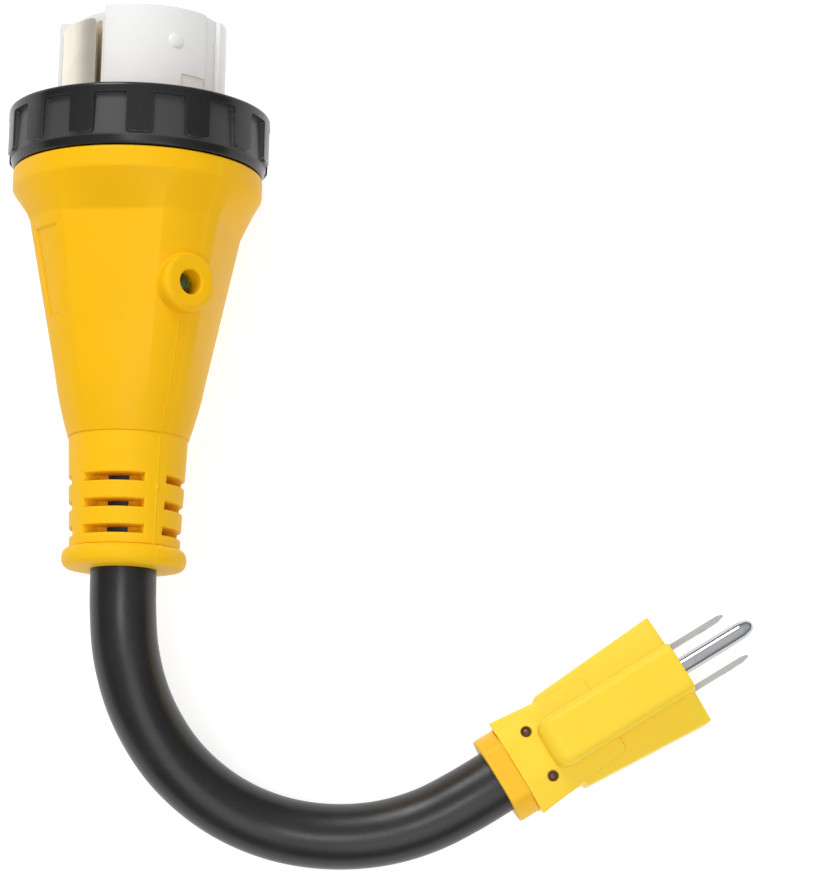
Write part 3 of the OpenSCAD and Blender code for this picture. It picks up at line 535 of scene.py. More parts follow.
# Height field over the round face, then down the side. The face sinks to the pit's depth where the
# signed distance into a slot is above zero. The side's radius falls in the pocket and the keyways and
# rises in a half ball at each pip
def makeInsert(plan):
    R, L = plan["radius"], plan["length"]
    pocketR, pocketA, pocketHalf = plan["pocket"]
    in0, out0 = plan["slotRadii"]
    legR, legTurn = plan["leg"]
    marks = []
    for a, legged in zip(plan["slotAngles"], plan["legged"]):
        first = a - plan["slotHalf"]
        marks += [first, a + plan["slotHalf"]] + ([first + legTurn] if legged else [])
    slotSteps = [-1.4, -0.8, -0.35, 0, 0.2, 0.35, 0.8, 1.4]
    theta = spread(0, 360, 180, marks, slotSteps + [-0.2], wrap=True)
    walls = [a + s * h for a, h in [(pocketA, pocketHalf)] + plan["keyways"] for s in (-1, 1)]
    wallSteps = [-3.2, -2.2, -1.4, -0.8, -0.4, -0.15, 0, 0.15, 0.4, 0.8, 1.4, 2.2, 3.2]
    fine = np.add.outer(walls, wallSteps).ravel() % 360
    rec = np.add.outer([plan["recess"][0] - plan["recess"][1], plan["recess"][0] + plan["recess"][1]],
                       [-0.8, -0.3, 0, 0.3, 0.8]).ravel()
    pips = np.add.outer(plan["pips"], np.linspace(-7, 7, 29)).ravel()
    theta = apart(np.round(np.concatenate([theta, fine, rec, pips]), 4), 0.05)
    t = theta[None, :]
    base = out0 + 3.2
    lines = spread(0.0, base, 22, [in0, out0, legR], [-0.35, -0.18, -0.06, 0, 0.06, 0.12, 0.18, 0.35])
    grooveLines = np.add.outer(plan["grooves"], [-0.32, -0.2, -0.1, 0, 0.1, 0.2, 0.32]).ravel()
    lines = np.unique(np.concatenate([lines, grooveLines]))
    depthHere = np.zeros((len(lines), len(theta)))
    r = lines[:, None]
    for a, legged in zip(plan["slotAngles"], plan["legged"]):
        off = turnFrom(t, a)
        mmPerDegree = np.pi / 180 * np.maximum(r, 6)
        ends = np.minimum(off + plan["slotHalf"], plan["slotHalf"] - off) * mmPerDegree
        into = np.minimum(ends, np.minimum(r - in0, out0 - r))
        if legged:
            legEnds = np.minimum(off + plan["slotHalf"], legTurn - plan["slotHalf"] - off) * mmPerDegree
            into = np.maximum(into, np.minimum(legEnds, np.minimum(r - in0, legR - r)))
        sunk = plan["pitDepth"] * ramp(into, -0.005, 0.05) + 0.15 * ramp(into, -0.3, 0)
        depthHere = np.maximum(depthHere, sunk)
    for g in plan["grooves"]:
        depthHere = np.maximum(depthHere, 0.13 * np.exp(-((r - g) / 0.16) ** 2))
    face = aboutAxis(r, t, depthHere)
    side = np.full_like(t, R)
    across = withinArc(t, pocketA, pocketHalf, R)
    lipCurve = 1.1 * quarterFall(np.clip(1 + across / 1.1, 0, 1))
    side = np.where(across > 0, pocketR + (R - 1.1 - pocketR) * (1 - ramp(across, 0, 0.35)), side - lipCurve)
    for a, h in plan["keyways"]:
        into = withinArc(t, a, h, R)
        side = side - plan["keyDepth"] * ramp(into, -0.12, 0.12)
    rows = roundedPath([[0.7, 0], [0, 0], [0, 0.7]], [0, 0.62, 0], step=0.3, arc=7)
    between = np.linspace(0, 1, 8)[1:, None]
    shelf = aboutAxis(base + (side - rows[0, 0] - base) * between, t, 0 * between + 0 * t)
    rim = aboutAxis(side - rows[1:, :1], t, rows[1:, 1:])
    sideRows = spread(1.0, L, 26, [plan["recess"][2], 25.2], [-0.25, -0.1, 0, 0.1, 0.25])
    pipRows = np.linspace(plan["pipDepth"] - 2.6, plan["pipDepth"] + 2.6, 27)
    sideRows = np.unique(np.concatenate([sideRows, pipRows]))[:, None]
    sideR = np.broadcast_to(side, (len(sideRows), len(theta))).copy()
    ra, rh, rd, rs = plan["recess"]
    into = withinArc(t, ra, rh, R)
    sideR = sideR - rs * ramp(into, -0.1, 0.1) * band(sideRows, rd + 0.1, 25.1, 0.15)
    for a in plan["pips"]:
        away = np.hypot(arcFrom(t, a, R), sideRows - plan["pipDepth"])
        sideR = sideR + 0.7 * np.sqrt(np.clip(1 - (away / 2.0) ** 2, 0, 1)) ** 0.8
    wall = aboutAxis(sideR, t, sideRows)
    back = aboutAxis(side * np.array([0.9, 0.6, 0.3, 0])[:, None], t, L + 0 * t)
    return surfacePiece("insert", [(np.concatenate([face, shelf, rim, wall, back]), False, True)],
                        replaces=["insert_front"], slot="insert_plastic", sharp=45)


makeInsert(insertPlan)
print("insert made")

# Ground contacts: outer and strip are radius, half angle and thickness
bandPlan = {
    "angle": 142.5, "outer": (21.2, 22.7, 0.8), "strip": (18.3, 22.5, 0.6), "flare": (21.4, 28.6),
    "front": 2.9, "rear": 31.3, "dimples": (-13, 13), "dimpleHeight": 0.9,
}


# A sheet bent along a line in the face's plane and carried straight back: its middle line is given by
# radius and angle, its wall runs half the thickness to each side, and its front corners are rounded
# by sinking the front edge as a quarter circle near both ends
def bentSheet(name, node, slot, radius, turn, thick, front, rear, corner, bumps=None):
    middle = np.stack([radius * np.cos(np.radians(turn)), radius * np.sin(np.radians(turn))], -1)
    along = np.concatenate([[0], np.cumsum(np.linalg.norm(np.diff(middle, axis=0), axis=1))])
    tangent = np.gradient(middle, along, axis=0)
    tangent /= np.linalg.norm(tangent, axis=1, keepdims=True)
    normal = np.stack([tangent[:, 1], -tangent[:, 0]], -1)
    toEnd = np.minimum(along, along[-1] - along)
    nose = corner - np.sqrt(np.clip(corner ** 2 - (corner - np.minimum(toEnd, corner)) ** 2, 0, None))
    section = roundedPath([[-1, 0.5], [-1, 0], [1, 0], [1, 0.5]], [0, 0.3, 0.3, 0], step=2, arc=4)
    depths = np.concatenate([section[:, 1], [1.5, 3, 6, 9, 14, 20, rear - front]])
    sides = np.concatenate([section[:, 0], np.ones(7)])
    depths = np.concatenate([[rear - front, 20, 14, 9, 6, 3, 1.5], depths])[:, None]
    sides = np.concatenate([-np.ones(7), sides])[:, None]
    push = 0 if bumps is None else bumps(turn)[None] * ramp(-depths, -15, -13)
    offset = sides * thick / 2 + push
    flat = middle[None] + offset[..., None] * normal[None]
    start = np.maximum(depths, nose[None] + 0 * depths)
    points = np.stack([flat[..., 0], -(front + start), flat[..., 1]], -1)
    firstEnd = (points[:, :1] + points[::-1, :1]) / 2
    lastEnd = (points[:, -1:] + points[::-1, -1:]) / 2
    points = np.concatenate([firstEnd, points, lastEnd], 1)
    return surfacePiece(name, [(points, True, False)], replaces=[node], slot=slot, sharp=35)


# The outer band is a plain arc; the strip is an arc whose two ends flare out to the band's radius,
# with two half-round dimples pressed outwards
def makeGround(plan):
    r, half, thick = plan["outer"]
    turn = plan["angle"] + np.linspace(-half, half, 60)
    bentSheet("groundBand", "ground_band", "ground_nickel", np.full_like(turn, r), turn, thick,
              plan["front"], plan["rear"], 1.6)
    r, half, thick = plan["strip"]
    flareR, flareA = plan["flare"]
    arcTurn = np.linspace(-half, half, 40)
    radii = np.concatenate([[flareR], np.full(40, r), [flareR]])
    a = np.radians(np.concatenate([[-flareA], arcTurn, [flareA]]))
    bent = np.stack([radii * np.cos(a), radii * np.sin(a)], -1)
    line = roundedPath(bent, [0, 1.2] + [0] * 38 + [1.2, 0], step=0.35, arc=6)
    radius, turn = np.hypot(line[:, 0], line[:, 1]), np.degrees(np.arctan2(line[:, 1], line[:, 0]))

    def dimples(turned):
        away = [turnFrom(turned, plan["angle"] + a) * 0.32 / 0.95 for a in plan["dimples"]]
        return sum(plan["dimpleHeight"] * np.sqrt(np.clip(1 - x ** 2, 0, 1)) for x in away)

    bentSheet("groundStrip", "ground_spring", "ground_nickel", radius, turn + plan["angle"], thick,
              plan["front"], plan["rear"], 1.0, dimples)


makeGround(bandPlan)
print("ground contacts made")

# Plug, in mm: along from the face, left, and up from the surface it lies on
plugPlan = {
    "coverLength": 51.2, "wingLength": 37.4, "wingFace": 16.15, "wingBack": 13.65, "waist": 12.5,
    "wallHeight": 17.3, "roofSlope": 0.3, "roofFlat": 5, "roofBend": 1.2, "bottomCut": 1.2,
    "cover": [(-51.2, 13.8), (-38, 12.4), (-24.6, 11.4), (-23.5, 10.4)], "coverLift": 1.0,
    "ridgeHalf": 7.3, "ridgeLength": 41.8, "ridgeTop": 27.2, "ridgeFloor": 17.8,
    "cordHeight": 11, "collarRadius": 12.3, "collarLength": 5.8, "collarFlat": (1, 21),
    "rivets": [(-44, 6.8), (-44, -6.8)], "rivetSeat": 1.5, "mountAhead": 0.009,
    # radius and place of each corner, and how far back from it the rounding starts
    "pin": ([[0, -4], [2.3, -4], [2.3, 0], [2.4, 0.05], [2.4, 19.2], [1.8, 21.4], [1.1, 22.3], [0.0, 22.6]],
            [0, 0, 0, 0, 0.5, 0.4, 0.4, 0]),
    "rivet": ([[0, 0.6], [0.8, 0.5], [1.02, 0.1], [1.4, 0.1], [1.4, -0.5], [0, -0.5]],
              [0, 0.3, 0.1, 0.05, 0.1, 0]),
}
pinMount = mounts["ground_pin"]
plugAim = Vector(pinMount["axis"])
plugOrigin = (Vector(pinMount["pos_m"]) - plugAim * plugPlan["mountAhead"]) / mm
plugPinHeight = plugOrigin.z - floorHeight / mm


# Plug coordinates, along from the face, left, and up from the surface it lies on, to the row frame
def fromPlug(points):
    x, y, z = points[..., 0], points[..., 1], points[..., 2]
    return np.stack([plugOrigin.x + plugAim.x * x - plugAim.y * y,
                     plugOrigin.y + plugAim.y * x + plugAim.x * y, z + floorHeight / mm], -1)


# Height of the roof over the plug's lower shell: level in the middle, then falling with the slope, the
# bend softened as the mean of the distance past it and that distance's hypotenuse
def roofAt(y, plan):
    high = plan["wallHeight"] + (plan["wingFace"] - plan["roofFlat"]) * plan["roofSlope"]
    past = np.abs(y) - plan["roofFlat"]
    return high - plan["roofSlope"] * (past + np.sqrt(past ** 2 + plan["roofBend"] ** 2)) / 2


# Sections across the plug, each set at its place along it, then closed by fans: each end section
# shrinks by the shares towards a middle point
def closedSections(x, yz, middle, shares):
    grid = np.concatenate([np.broadcast_to(x[:, None, None], yz.shape[:2] + (1,)), yz], -1)
    shrink = np.array(shares)[:, None, None]
    hubs = [np.array([x[end], *middle]) for end in (0, -1)]
    first, last = (hub + (grid[end] - hub) * shrink for hub, end in zip(hubs, (0, -1)))
    return np.concatenate([first, grid, last[::-1]])


# Lower shell: one rounded section for each place along the plug. Its half width steps out to the
# wings, its top follows the roof, and it is closed by shrinking the end sections to their middle
def makePlugBase(plan):
    x = np.array([-51.15, -50.9, -50.6, -49, -46, -43, -40, -37.9, -37.55, -37.42, -37.3, -37.0, -36.6, -34,
                  -30, -26, -22, -18, -14, -10, -6, -2, -0.7, -0.3, -0.08, 0])
    wing = np.interp(x, [-plan["wingLength"], 0], [plan["wingBack"], plan["wingFace"]])
    half = plan["waist"] + (wing - plan["waist"]) * ramp(x, -37.5, -37.3)
    half = half - 0.25 * (ramp(x, -37.15, -37.3) * ramp(x, -37.5, -37.3))
    h = half[:, None]
    flat = plan["roofFlat"]
    side = roofAt(half, plan)[:, None]
    ones = np.ones_like(h)
    top, low, zero = roofAt(0, plan) * ones, plan["bottomCut"] * ones, 0 * ones
    outline = np.stack([np.concatenate([low - h, h - low, h, h, flat * ones, -flat * ones, -h, -h], 1),
                        np.concatenate([zero, zero, low, side, top, top, side, low], 1)], -1)
    yz = roundedPath(np.swapaxes(outline, 0, 1), [0.6, 0.6, 0.6, 0.45, 3, 3, 0.45, 0.6], step=1.2, arc=5,
                     closed=True)
    yz = np.swapaxes(yz, 0, 1)
    middle = np.array([0, 9.0])
    inset = 0.45 * (np.where(x < -50.5, quarterFall((-50.6 - x) / 0.6), 0)
                    + np.where(x > -0.6, quarterFall((x + 0.6) / 0.6), 0))
    inward = middle - yz
    yz = yz + inward * (inset[:, None, None] / np.linalg.norm(inward, axis=-1, keepdims=True))
    grid = closedSections(x, yz, middle, [0.0, 0.35, 0.7])
    return surfacePiece("plugBase", [(fromPlug(grid), False, True)], replaces=["plug_base"],
                        slot="plug_vinyl", sharp=40)


# Cover plate: a thin sheet that follows the roof, its outline's half width taken at each place along it.
# Two round holes are sunk for the rivets by dropping the points within the hole's radius
def makeCoverPlate(plan):
    px, pw = np.array(plan["cover"]).T
    x = spread(px[0], px[-1], 60, [px[0], px[-1], -24.6], [-0.5, -0.25, -0.1, 0.1, 0.25, 0.5])
    x = np.unique(np.concatenate([x, np.linspace(-46.2, -41.8, 45)]))
    across = spread(-1, 1, 61, [0], [0])
    bend = np.linspace(3.4, 6.6, 17) / 12.9
    across = np.unique(np.concatenate([across, bend, -bend]))
    fineY = np.concatenate([np.linspace(4.4, 9.2, 49), np.linspace(-9.2, -4.4, 49)]) / 12.9
    across = np.unique(np.concatenate([across, fineY, [-0.995, -0.98, 0.98, 0.995]]))
    half = np.interp(x, px, pw)
    y = across[None] * half[:, None]
    lift = plan["coverLift"]
    edge = half[:, None] - np.abs(y)
    endGap = np.minimum(x - px[0], px[-1] - x)[:, None]
    near = np.minimum(edge, endGap)
    rounding = 0.28 * quarterFall(1 - np.clip(near / 0.28, 0, 1))
    top = roofAt(y, plan) + lift - rounding
    for rx, ry in plan["rivets"]:
        away = np.hypot(x[:, None] - rx, y - ry)
        top = top - (lift + 0.7) * (1 - ramp(away, plan["rivetSeat"] - 0.08, plan["rivetSeat"] + 0.04))
    under = roofAt(y, plan) + 0.03
    upper = np.stack([np.broadcast_to(x[:, None], y.shape), y, top], -1)
    for rx, ry in plan["rivets"]:
        away = np.hypot(x[:, None] - rx, y - ry)
        under = under - 1.2 * (1 - ramp(away, plan["rivetSeat"] + 0.2, plan["rivetSeat"] + 0.5))
    lower = np.stack([np.broadcast_to(x[:, None], y.shape), y, np.minimum(under, top - 0.1)], -1)
    loop = np.concatenate([upper, lower[:, ::-1]], 1)
    first = np.concatenate([lower[:1], lower[:1, ::-1]], 1)
    last = np.concatenate([lower[-1:], lower[-1:, ::-1]], 1)
    return np.concatenate([first, loop, last])


# Ridge over the ground pin: across it, a super-ellipse shoulder under a level top; along it, the
# section shrinks at the rounded rear end as a quarter ellipse
def makeRidge(plan):
    L, half, top, floor = plan["ridgeLength"], plan["ridgeHalf"], plan["ridgeTop"], plan["ridgeFloor"]
    back = np.linspace(0, math.pi / 2, 16)
    x = np.concatenate([-L + 4.2 * (1 - np.cos(back)), np.linspace(-L + 5, -0.9, 34),
                        [-0.5, -0.25, -0.08, 0]])
    s = np.clip((x + L) / 4.2, 0, 1)
    size = np.sqrt(np.clip(1 - (1 - s) ** 2, 0, 1))
    frontCut = 0.35 * np.where(x > -0.6, quarterFall((x + 0.6) / 0.6), 0)
    halfHere = (half - 3.2) + 3.2 * size - frontCut
    topHere = top - 3.8 * (1 - size) - frontCut
    h, k = halfHere[:, None], topHere[:, None]
    ones = np.ones_like(h)
    corners = np.stack([np.concatenate([-h, -h, h, h], 1),
                        np.concatenate([floor * ones, k, k, floor * ones], 1)], -1)
    corners = np.swapaxes(corners, 0, 1)
    section = roundedPath(corners, [0, 3.5, 3.5, 0], step=0.7, arc=14)
    section = np.swapaxes(section, 0, 1)
    yz = section[:, ::-1]
    bottomRow = np.stack([np.linspace(yz[:, -1, 0], yz[:, 0, 0], 10, axis=1)[:, 1:-1],
                          np.full((len(x), 8), floor)], -1)
    yz = np.concatenate([yz, bottomRow], 1)
    return closedSections(x, yz, (0, 21.0), [0.0, 0.5])


# Collar: a circle flattened above and below, its edges rounded, carried along the cord's axis
def makeCollar(plan):
    x1 = -plan["coverLength"] - 0.03
    x0 = x1 - plan["collarLength"]
    low, high = plan["collarFlat"]
    phi = np.linspace(0, 2 * math.pi, 180, endpoint=False)
    rows = roundedPath([[x0, 8.3], [x0, 0], [x1, 0], [x1, 8.3]], [0, 0.5, 0.25, 0], step=1.2, arc=5)
    rows[:, 1] = np.where(rows[:, 1] > 8.2, 4.2, rows[:, 1])
    inner = np.linspace(x1 - 1, x0 + 1, 3)
    x = np.concatenate([rows[:, 0], inner])[:, None]
    cut = np.concatenate([rows[:, 1], np.full(3, 4.2)])[:, None]
    y = plan["collarRadius"] * np.cos(phi)
    z = softMin(plan["collarRadius"] * np.sin(phi), high - plan["cordHeight"] + 0 * phi, 0.5)
    z = -softMin(-z, plan["cordHeight"] - low + 0 * phi, 0.5)
    size = np.hypot(y, z)
    scale = (size - cut) / size
    grid = np.stack([x + 0 * scale, y * scale, plan["cordHeight"] + z * scale], -1)
    return surfacePiece("plugCollar", [(fromPlug(grid), True, True)], replaces=["plug_collar"],
                        slot="collar_vinyl", sharp=45)


# Ground pin: a turned outline from the back, a round shank and a tip that narrows in two steps
def makePin(plan):
    outline = roundedPath(*plan["pin"], step=1.2, arc=5)
    phi = np.linspace(0, 2 * math.pi, 72, endpoint=False)
    r, x = outline[:, :1], outline[:, 1:]
    grid = np.stack([x + 0 * phi, r * np.cos(phi), plugPinHeight + r * np.sin(phi)], -1)
    return surfacePiece("groundPin", [(fromPlug(grid), False, True)], replaces=["ground_pin"],
                        slot="pin_chrome", sharp=40)


# Rivets: each is turned about an upright line, and every point rides on the roof's slope, so that the
# head lies level with the roof. The outline is a low dome inside a groove
def makeRivets(plan):
    outline = roundedPath(*plan["rivet"], step=0.4)
    phi = np.linspace(0, 2 * math.pi, 48, endpoint=False)
    rho, h = outline[:, :1], outline[:, 1:]
    grids = []
    for x, y in plan["rivets"]:
        across = y + rho * np.sin(phi)
        points = np.stack([x + rho * np.cos(phi), across, roofAt(across, plan) + h], -1)
        grids.append((fromPlug(points), False, True))
    return surfacePiece("plugRivets", grids, replaces=["plug_rivets"], slot="rivet_bronze", sharp=60)


plugBase = makePlugBase(plugPlan)
plate, ridge = fromPlug(makeCoverPlate(plugPlan)), fromPlug(makeRidge(plugPlan))
plugCover = surfacePiece("plugCover", [(plate, False, True), (ridge, False, True)], replaces=["plug_cover"],
                         slot="plug_vinyl", sharp=40)
collar = makeCollar(plugPlan)
rivets = makeRivets(plugPlan)
pin = makePin(plugPlan)
print("plug made")


# Adds a node, sets its properties and the plain values of its inputs
def addNode(tree, kind, place, inputs=None, **properties):
    node = tree.nodes.new(kind)
    node.location = place
    for key, value in properties.items():
        setattr(node, key, value)
    for key, value in (inputs or {}).items():
        node.inputs[key].default_value = value
    return node


# Starts a node group with its named inputs (with a plain value each) and outputs
def newGroup(name, inputs, outputs):
    tree = bpy.data.node_groups.new(name, "ShaderNodeTree")
    for key, value in inputs.items():
        kind = "NodeSocketVector" if value is None else "NodeSocketFloat"
        socket = tree.interface.new_socket(name=key, in_out="INPUT", socket_type=kind)
        if value is not None:
            socket.default_value = value
    for key in outputs:
        tree.interface.new_socket(name=key, in_out="OUTPUT", socket_type="NodeSocketFloat")
    start = addNode(tree, "NodeGroupInput", (-900, 0))
    end = addNode(tree, "NodeGroupOutput", (900, 0))
    return tree, start, end


# One calculation on two values; each is a socket or a number
def calc(tree, operation, a, b=0.0, place=(0, 0), clamp=False):
    node = addNode(tree, "ShaderNodeMath", place, operation=operation, use_clamp=clamp)
    for socket, value in zip(node.inputs, (a, b)):
        if isinstance(value, (int, float)):
            socket.default_value = value
        else:
            tree.links.new(value, socket)
    return node.outputs[0]


# Noise at a size read from a socket, with its detail
def noise(tree, coords, scale, detail, rough, place):
    node = addNode(tree, "ShaderNodeTexNoise", place, {"Detail": detail, "Roughness": rough})
    tree.links.new(coords, node.inputs["Vector"])
    tree.links.new(scale, node.inputs["Scale"])
    return node.outputs[0]


# How far a value is over a level, times a gain, kept between 0 and 1
def overLevel(tree, value, level, gain, place):
    past = calc(tree, "SUBTRACT", value, level, place)
    return calc(tree, "MULTIPLY", past, gain, (place[0] + 180, place[1]), clamp=True)


# Moulded grain: height is a fine noise plus a slow swell, tone is the slow swell alone
def makeGrainGroup():
    tree, start, end = newGroup("mouldGrain", {"Coords": None, "Grain Scale": 3200, "Swell Scale": 60,
                                               "Grain Share": 0.5}, ["Height", "Tone"])
    fine = noise(tree, start.outputs["Coords"], start.outputs["Grain Scale"], 3, 0.6, (-600, 200))
    swell = noise(tree, start.outputs["Coords"], start.outputs["Swell Scale"], 3, 0.5, (-600, -100))
    part = calc(tree, "MULTIPLY", fine, start.outputs["Grain Share"], (-300, 200))
    rest = calc(tree, "SUBTRACT", 1.0, start.outputs["Grain Share"], (-300, 0))
    slow = calc(tree, "MULTIPLY", swell, rest, (-100, 0))
    height = calc(tree, "ADD", part, slow, (100, 100))
    tree.links.new(height, end.inputs["Height"])
    tree.links.new(swell, end.inputs["Tone"])
    return tree


# Handling marks: smudges are a noise kept above a level; scratches are a stretched noise kept
# above a high level, so that only thin lines are left
def makeMarksGroup():
    tree, start, end = newGroup("handlingMarks", {"Coords": None, "Smudge Scale": 45, "Scratch Scale": 160,
                                                  "Smudge Level": 0.5, "Scratch Level": 0.7},
                                ["Smudge", "Scratch"])
    blot = noise(tree, start.outputs["Coords"], start.outputs["Smudge Scale"], 4, 0.6, (-600, 200))
    smudge = overLevel(tree, blot, start.outputs["Smudge Level"], 4.0, (-350, 200))
    stretch = addNode(tree, "ShaderNodeMapping", (-750, -150),
                      {"Rotation": (0.3, 0.5, 0.7), "Scale": (1, 0.08, 1)})
    tree.links.new(start.outputs["Coords"], stretch.inputs["Vector"])
    line = noise(tree, stretch.outputs[0], start.outputs["Scratch Scale"], 6, 0.7, (-500, -150))
    scratch = overLevel(tree, line, start.outputs["Scratch Level"], 14.0, (-300, -150))
    tree.links.new(smudge, end.inputs["Smudge"])
    tree.links.new(scratch, end.inputs["Scratch"])
    return tree


# Dust: fine specks kept from a noise, thicker where the surface faces up
def makeDustGroup():
    tree, start, end = newGroup("settledDust", {"Coords": None, "Normal": None, "Speck Scale": 2200,
                                                "Amount": 0.05}, ["Dust"])
    speck = noise(tree, start.outputs["Coords"], start.outputs["Speck Scale"], 2, 0.5, (-600, 200))
    kept = overLevel(tree, speck, 0.6, 8.0, (-400, 200))
    split = addNode(tree, "ShaderNodeSeparateXYZ", (-600, -100))
    tree.links.new(start.outputs["Normal"], split.inputs[0])
    up = calc(tree, "MULTIPLY", calc(tree, "MAXIMUM", split.outputs[2], 0.0, (-400, -100)), 0.8, (-250, -100))
    lit = calc(tree, "ADD", up, 0.2, (-100, -100))
    shown = calc(tree, "MULTIPLY", kept, lit, (50, 100))
    dust = calc(tree, "MULTIPLY", shown, start.outputs["Amount"], (200, 100))
    tree.links.new(dust, end.inputs["Dust"])
    return tree


# Edge highlight: how far the surface's own pointiness is above level, so edges can take a paler colour as a
# painted highlight
def makeEdgeGroup():
    tree, start, end = newGroup("edgePale", {"Level": 0.51, "Gain": 12}, ["Edge"])
    shape = addNode(tree, "ShaderNodeNewGeometry", (-600, 0))
    edge = overLevel(tree, shape.outputs["Pointiness"], start.outputs["Level"], start.outputs["Gain"],
                     (-350, 0))
    tree.links.new(edge, end.inputs["Edge"])
    return tree


# Drawn metal: a noise stretched along one axis gives fine streaks, plus slow tarnish
def makeMetalGroup():
    tree, start, end = newGroup("drawnMetal", {"Coords": None, "Streak Scale": 900, "Tarnish Scale": 120},
                                ["Streak", "Tarnish"])
    stretch = addNode(tree, "ShaderNodeMapping", (-750, 100), {"Scale": (1, 0.04, 1)})
    tree.links.new(start.outputs["Coords"], stretch.inputs["Vector"])
    streak = noise(tree, stretch.outputs[0], start.outputs["Streak Scale"], 4, 0.6, (-500, 100))
    tarnish = noise(tree, start.outputs["Coords"], start.outputs["Tarnish Scale"], 5, 0.6, (-500, -150))
    tree.links.new(streak, end.inputs["Streak"])
    tree.links.new(tarnish, end.inputs["Tarnish"])
    return tree


# Reach: a share from 0 at the inner distance from the turning axis to 1 at the outer one, and 1 again
# past a depth. It masks the ring's fields between the ribs, where a lighter colour is painted in as a painted
# sheen
def makeReachGroup():
    steep = 2500
    tree, start, end = newGroup("axisReach", {"Coords": None, "Inner": 0.0342, "Outer": 0.0348,
                                              "Depth": 0.0387}, ["Share"])
    split = addNode(tree, "ShaderNodeSeparateXYZ", (-700, 0))
    tree.links.new(start.outputs["Coords"], split.inputs[0])
    square = calc(tree, "ADD", calc(tree, "MULTIPLY", split.outputs[0], split.outputs[0], (-500, 100)),
                  calc(tree, "MULTIPLY", split.outputs[2], split.outputs[2], (-500, -100)), (-300, 0))
    share = addNode(tree, "ShaderNodeMapRange", (200, 0))
    tree.links.new(calc(tree, "SQRT", square, 0, (-100, 0)), share.inputs["Value"])
    tree.links.new(start.outputs["Inner"], share.inputs["From Min"])
    tree.links.new(start.outputs["Outer"], share.inputs["From Max"])
    past = calc(tree, "MULTIPLY_ADD", split.outputs[1], -steep, (200, -250), clamp=True)
    tree.links.new(calc(tree, "MULTIPLY", start.outputs["Depth"], -steep, (0, -350)), past.node.inputs[2])
    tree.links.new(calc(tree, "MAXIMUM", share.outputs[0], past, (500, 0)), end.inputs["Share"])
    return tree


groups = {"grain": makeGrainGroup(), "marks": makeMarksGroup(), "dust": makeDustGroup(),
          "edge": makeEdgeGroup(), "metal": makeMetalGroup(), "reach": makeReachGroup()}


# Puts a shared group into a material and feeds it Object coordinates where it asks for them
def useGroup(tree, key, coords, place, values=None):
    node = addNode(tree, "ShaderNodeGroup", place, node_tree=groups[key])
    for name, value in (values or {}).items():
        node.inputs[name].default_value = value
    for socket, source in (("Coords", "Object"), ("Normal", "Normal")):
        if socket in node.inputs:
            tree.links.new(coords.outputs[source], node.inputs[socket])
    return node


# Mix of two colours by a factor; each may be a socket or a colour
def mixColour(tree, factor, a, b, place):
    node = addNode(tree, "ShaderNodeMix", place, data_type="RGBA")
    for index, value in ((0, factor), (6, a), (7, b)):
        if isinstance(value, (tuple, list)):
            node.inputs[index].default_value = (*value, 1)
        elif isinstance(value, (int, float)):
            node.inputs[index].default_value = value
        else:
            tree.links.new(value, node.inputs[index])
    return node.outputs[2]


# A new material, its tree, its shader, and coordinates at a place
def newMaterial(name, place):
    material = bpy.data.materials.new(name)
    material.use_nodes = True
    tree = material.node_tree
    return material, tree, tree.nodes["Principled BSDF"], addNode(tree, "ShaderNodeTexCoord", place)


# Roughness, then a bump from a height, its distance the depth in metres, then the shader's plain values
def setSurface(tree, shader, rough, height, p):
    tree.links.new(rough, shader.inputs["Roughness"])
    bump = addNode(tree, "ShaderNodeBump", (-400, -300), {"Strength": p["bump"], "Distance": p["depth"] * mm})
    tree.links.new(height, bump.inputs["Height"])
    tree.links.new(bump.outputs[0], shader.inputs["Normal"])
    for key, value in p.get("shader", {}).items():
        shader.inputs[key].default_value = value


# Roughness changed by a share of a mark: added where the share is above zero, else taken off
def markRough(tree, rough, mark, share, place):
    part = calc(tree, "MULTIPLY", mark, abs(share), place)
    return calc(tree, "ADD" if share > 0 else "SUBTRACT", rough, part, (place[0] + 400, 0))


# Moulded plastic: base colour varies with the slow tone, edges pale towards a lighter colour as a painted
# highlight, and where a low colour is given the fields between ribs take it as a painted sheen; dust
# lightens; roughness rises with smudges, falls in scratches and rises in those fields; the grain's height
# feeds a bump
def plastic(name, p):
    material, tree, shader, coords = newMaterial(name, (-1400, 0))
    grain = useGroup(tree, "grain", coords, (-1100, 300), p.get("grain"))
    marks = useGroup(tree, "marks", coords, (-1100, 0), p.get("marks"))
    dust = useGroup(tree, "dust", coords, (-1100, -300), p.get("dust"))
    tone = mixColour(tree, grain.outputs["Tone"], p["deep"], p["colour"], (-800, 300))
    # Where a low colour is given, the fields between ribs are painted lighter than the ribs: a painted sheen
    if "low" in p:
        reach = useGroup(tree, "reach", coords, (-1100, -550))
        tone = mixColour(tree, reach.outputs["Share"], p["low"], tone, (-700, 200))
    # Edges are mixed towards a paler colour: a painted highlight
    if p.get("edge", 0) > 0:
        edge = useGroup(tree, "edge", coords, (-1100, 550))
        share = calc(tree, "MULTIPLY", edge.outputs["Edge"], p["edge"], (-800, 550))
        tone = mixColour(tree, share, tone, p["pale"], (-600, 400))
    dusty = mixColour(tree, dust.outputs["Dust"], tone, (0.75, 0.73, 0.7), (-400, 300))
    tree.links.new(dusty, shader.inputs["Base Color"])
    rough = calc(tree, "MULTIPLY", marks.outputs["Smudge"], p["roughSpan"], (-800, 0))
    rough = calc(tree, "ADD", rough, p["rough"], (-600, 0))
    rough = markRough(tree, rough, marks.outputs["Scratch"], -0.06, (-800, -150))
    if "low" in p:
        field = calc(tree, "SUBTRACT", 1.0, reach.outputs["Share"], (-800, -500))
        rough = markRough(tree, rough, field, p["dull"], (-600, -500))
    setSurface(tree, shader, rough, grain.outputs["Height"], p)
    return material


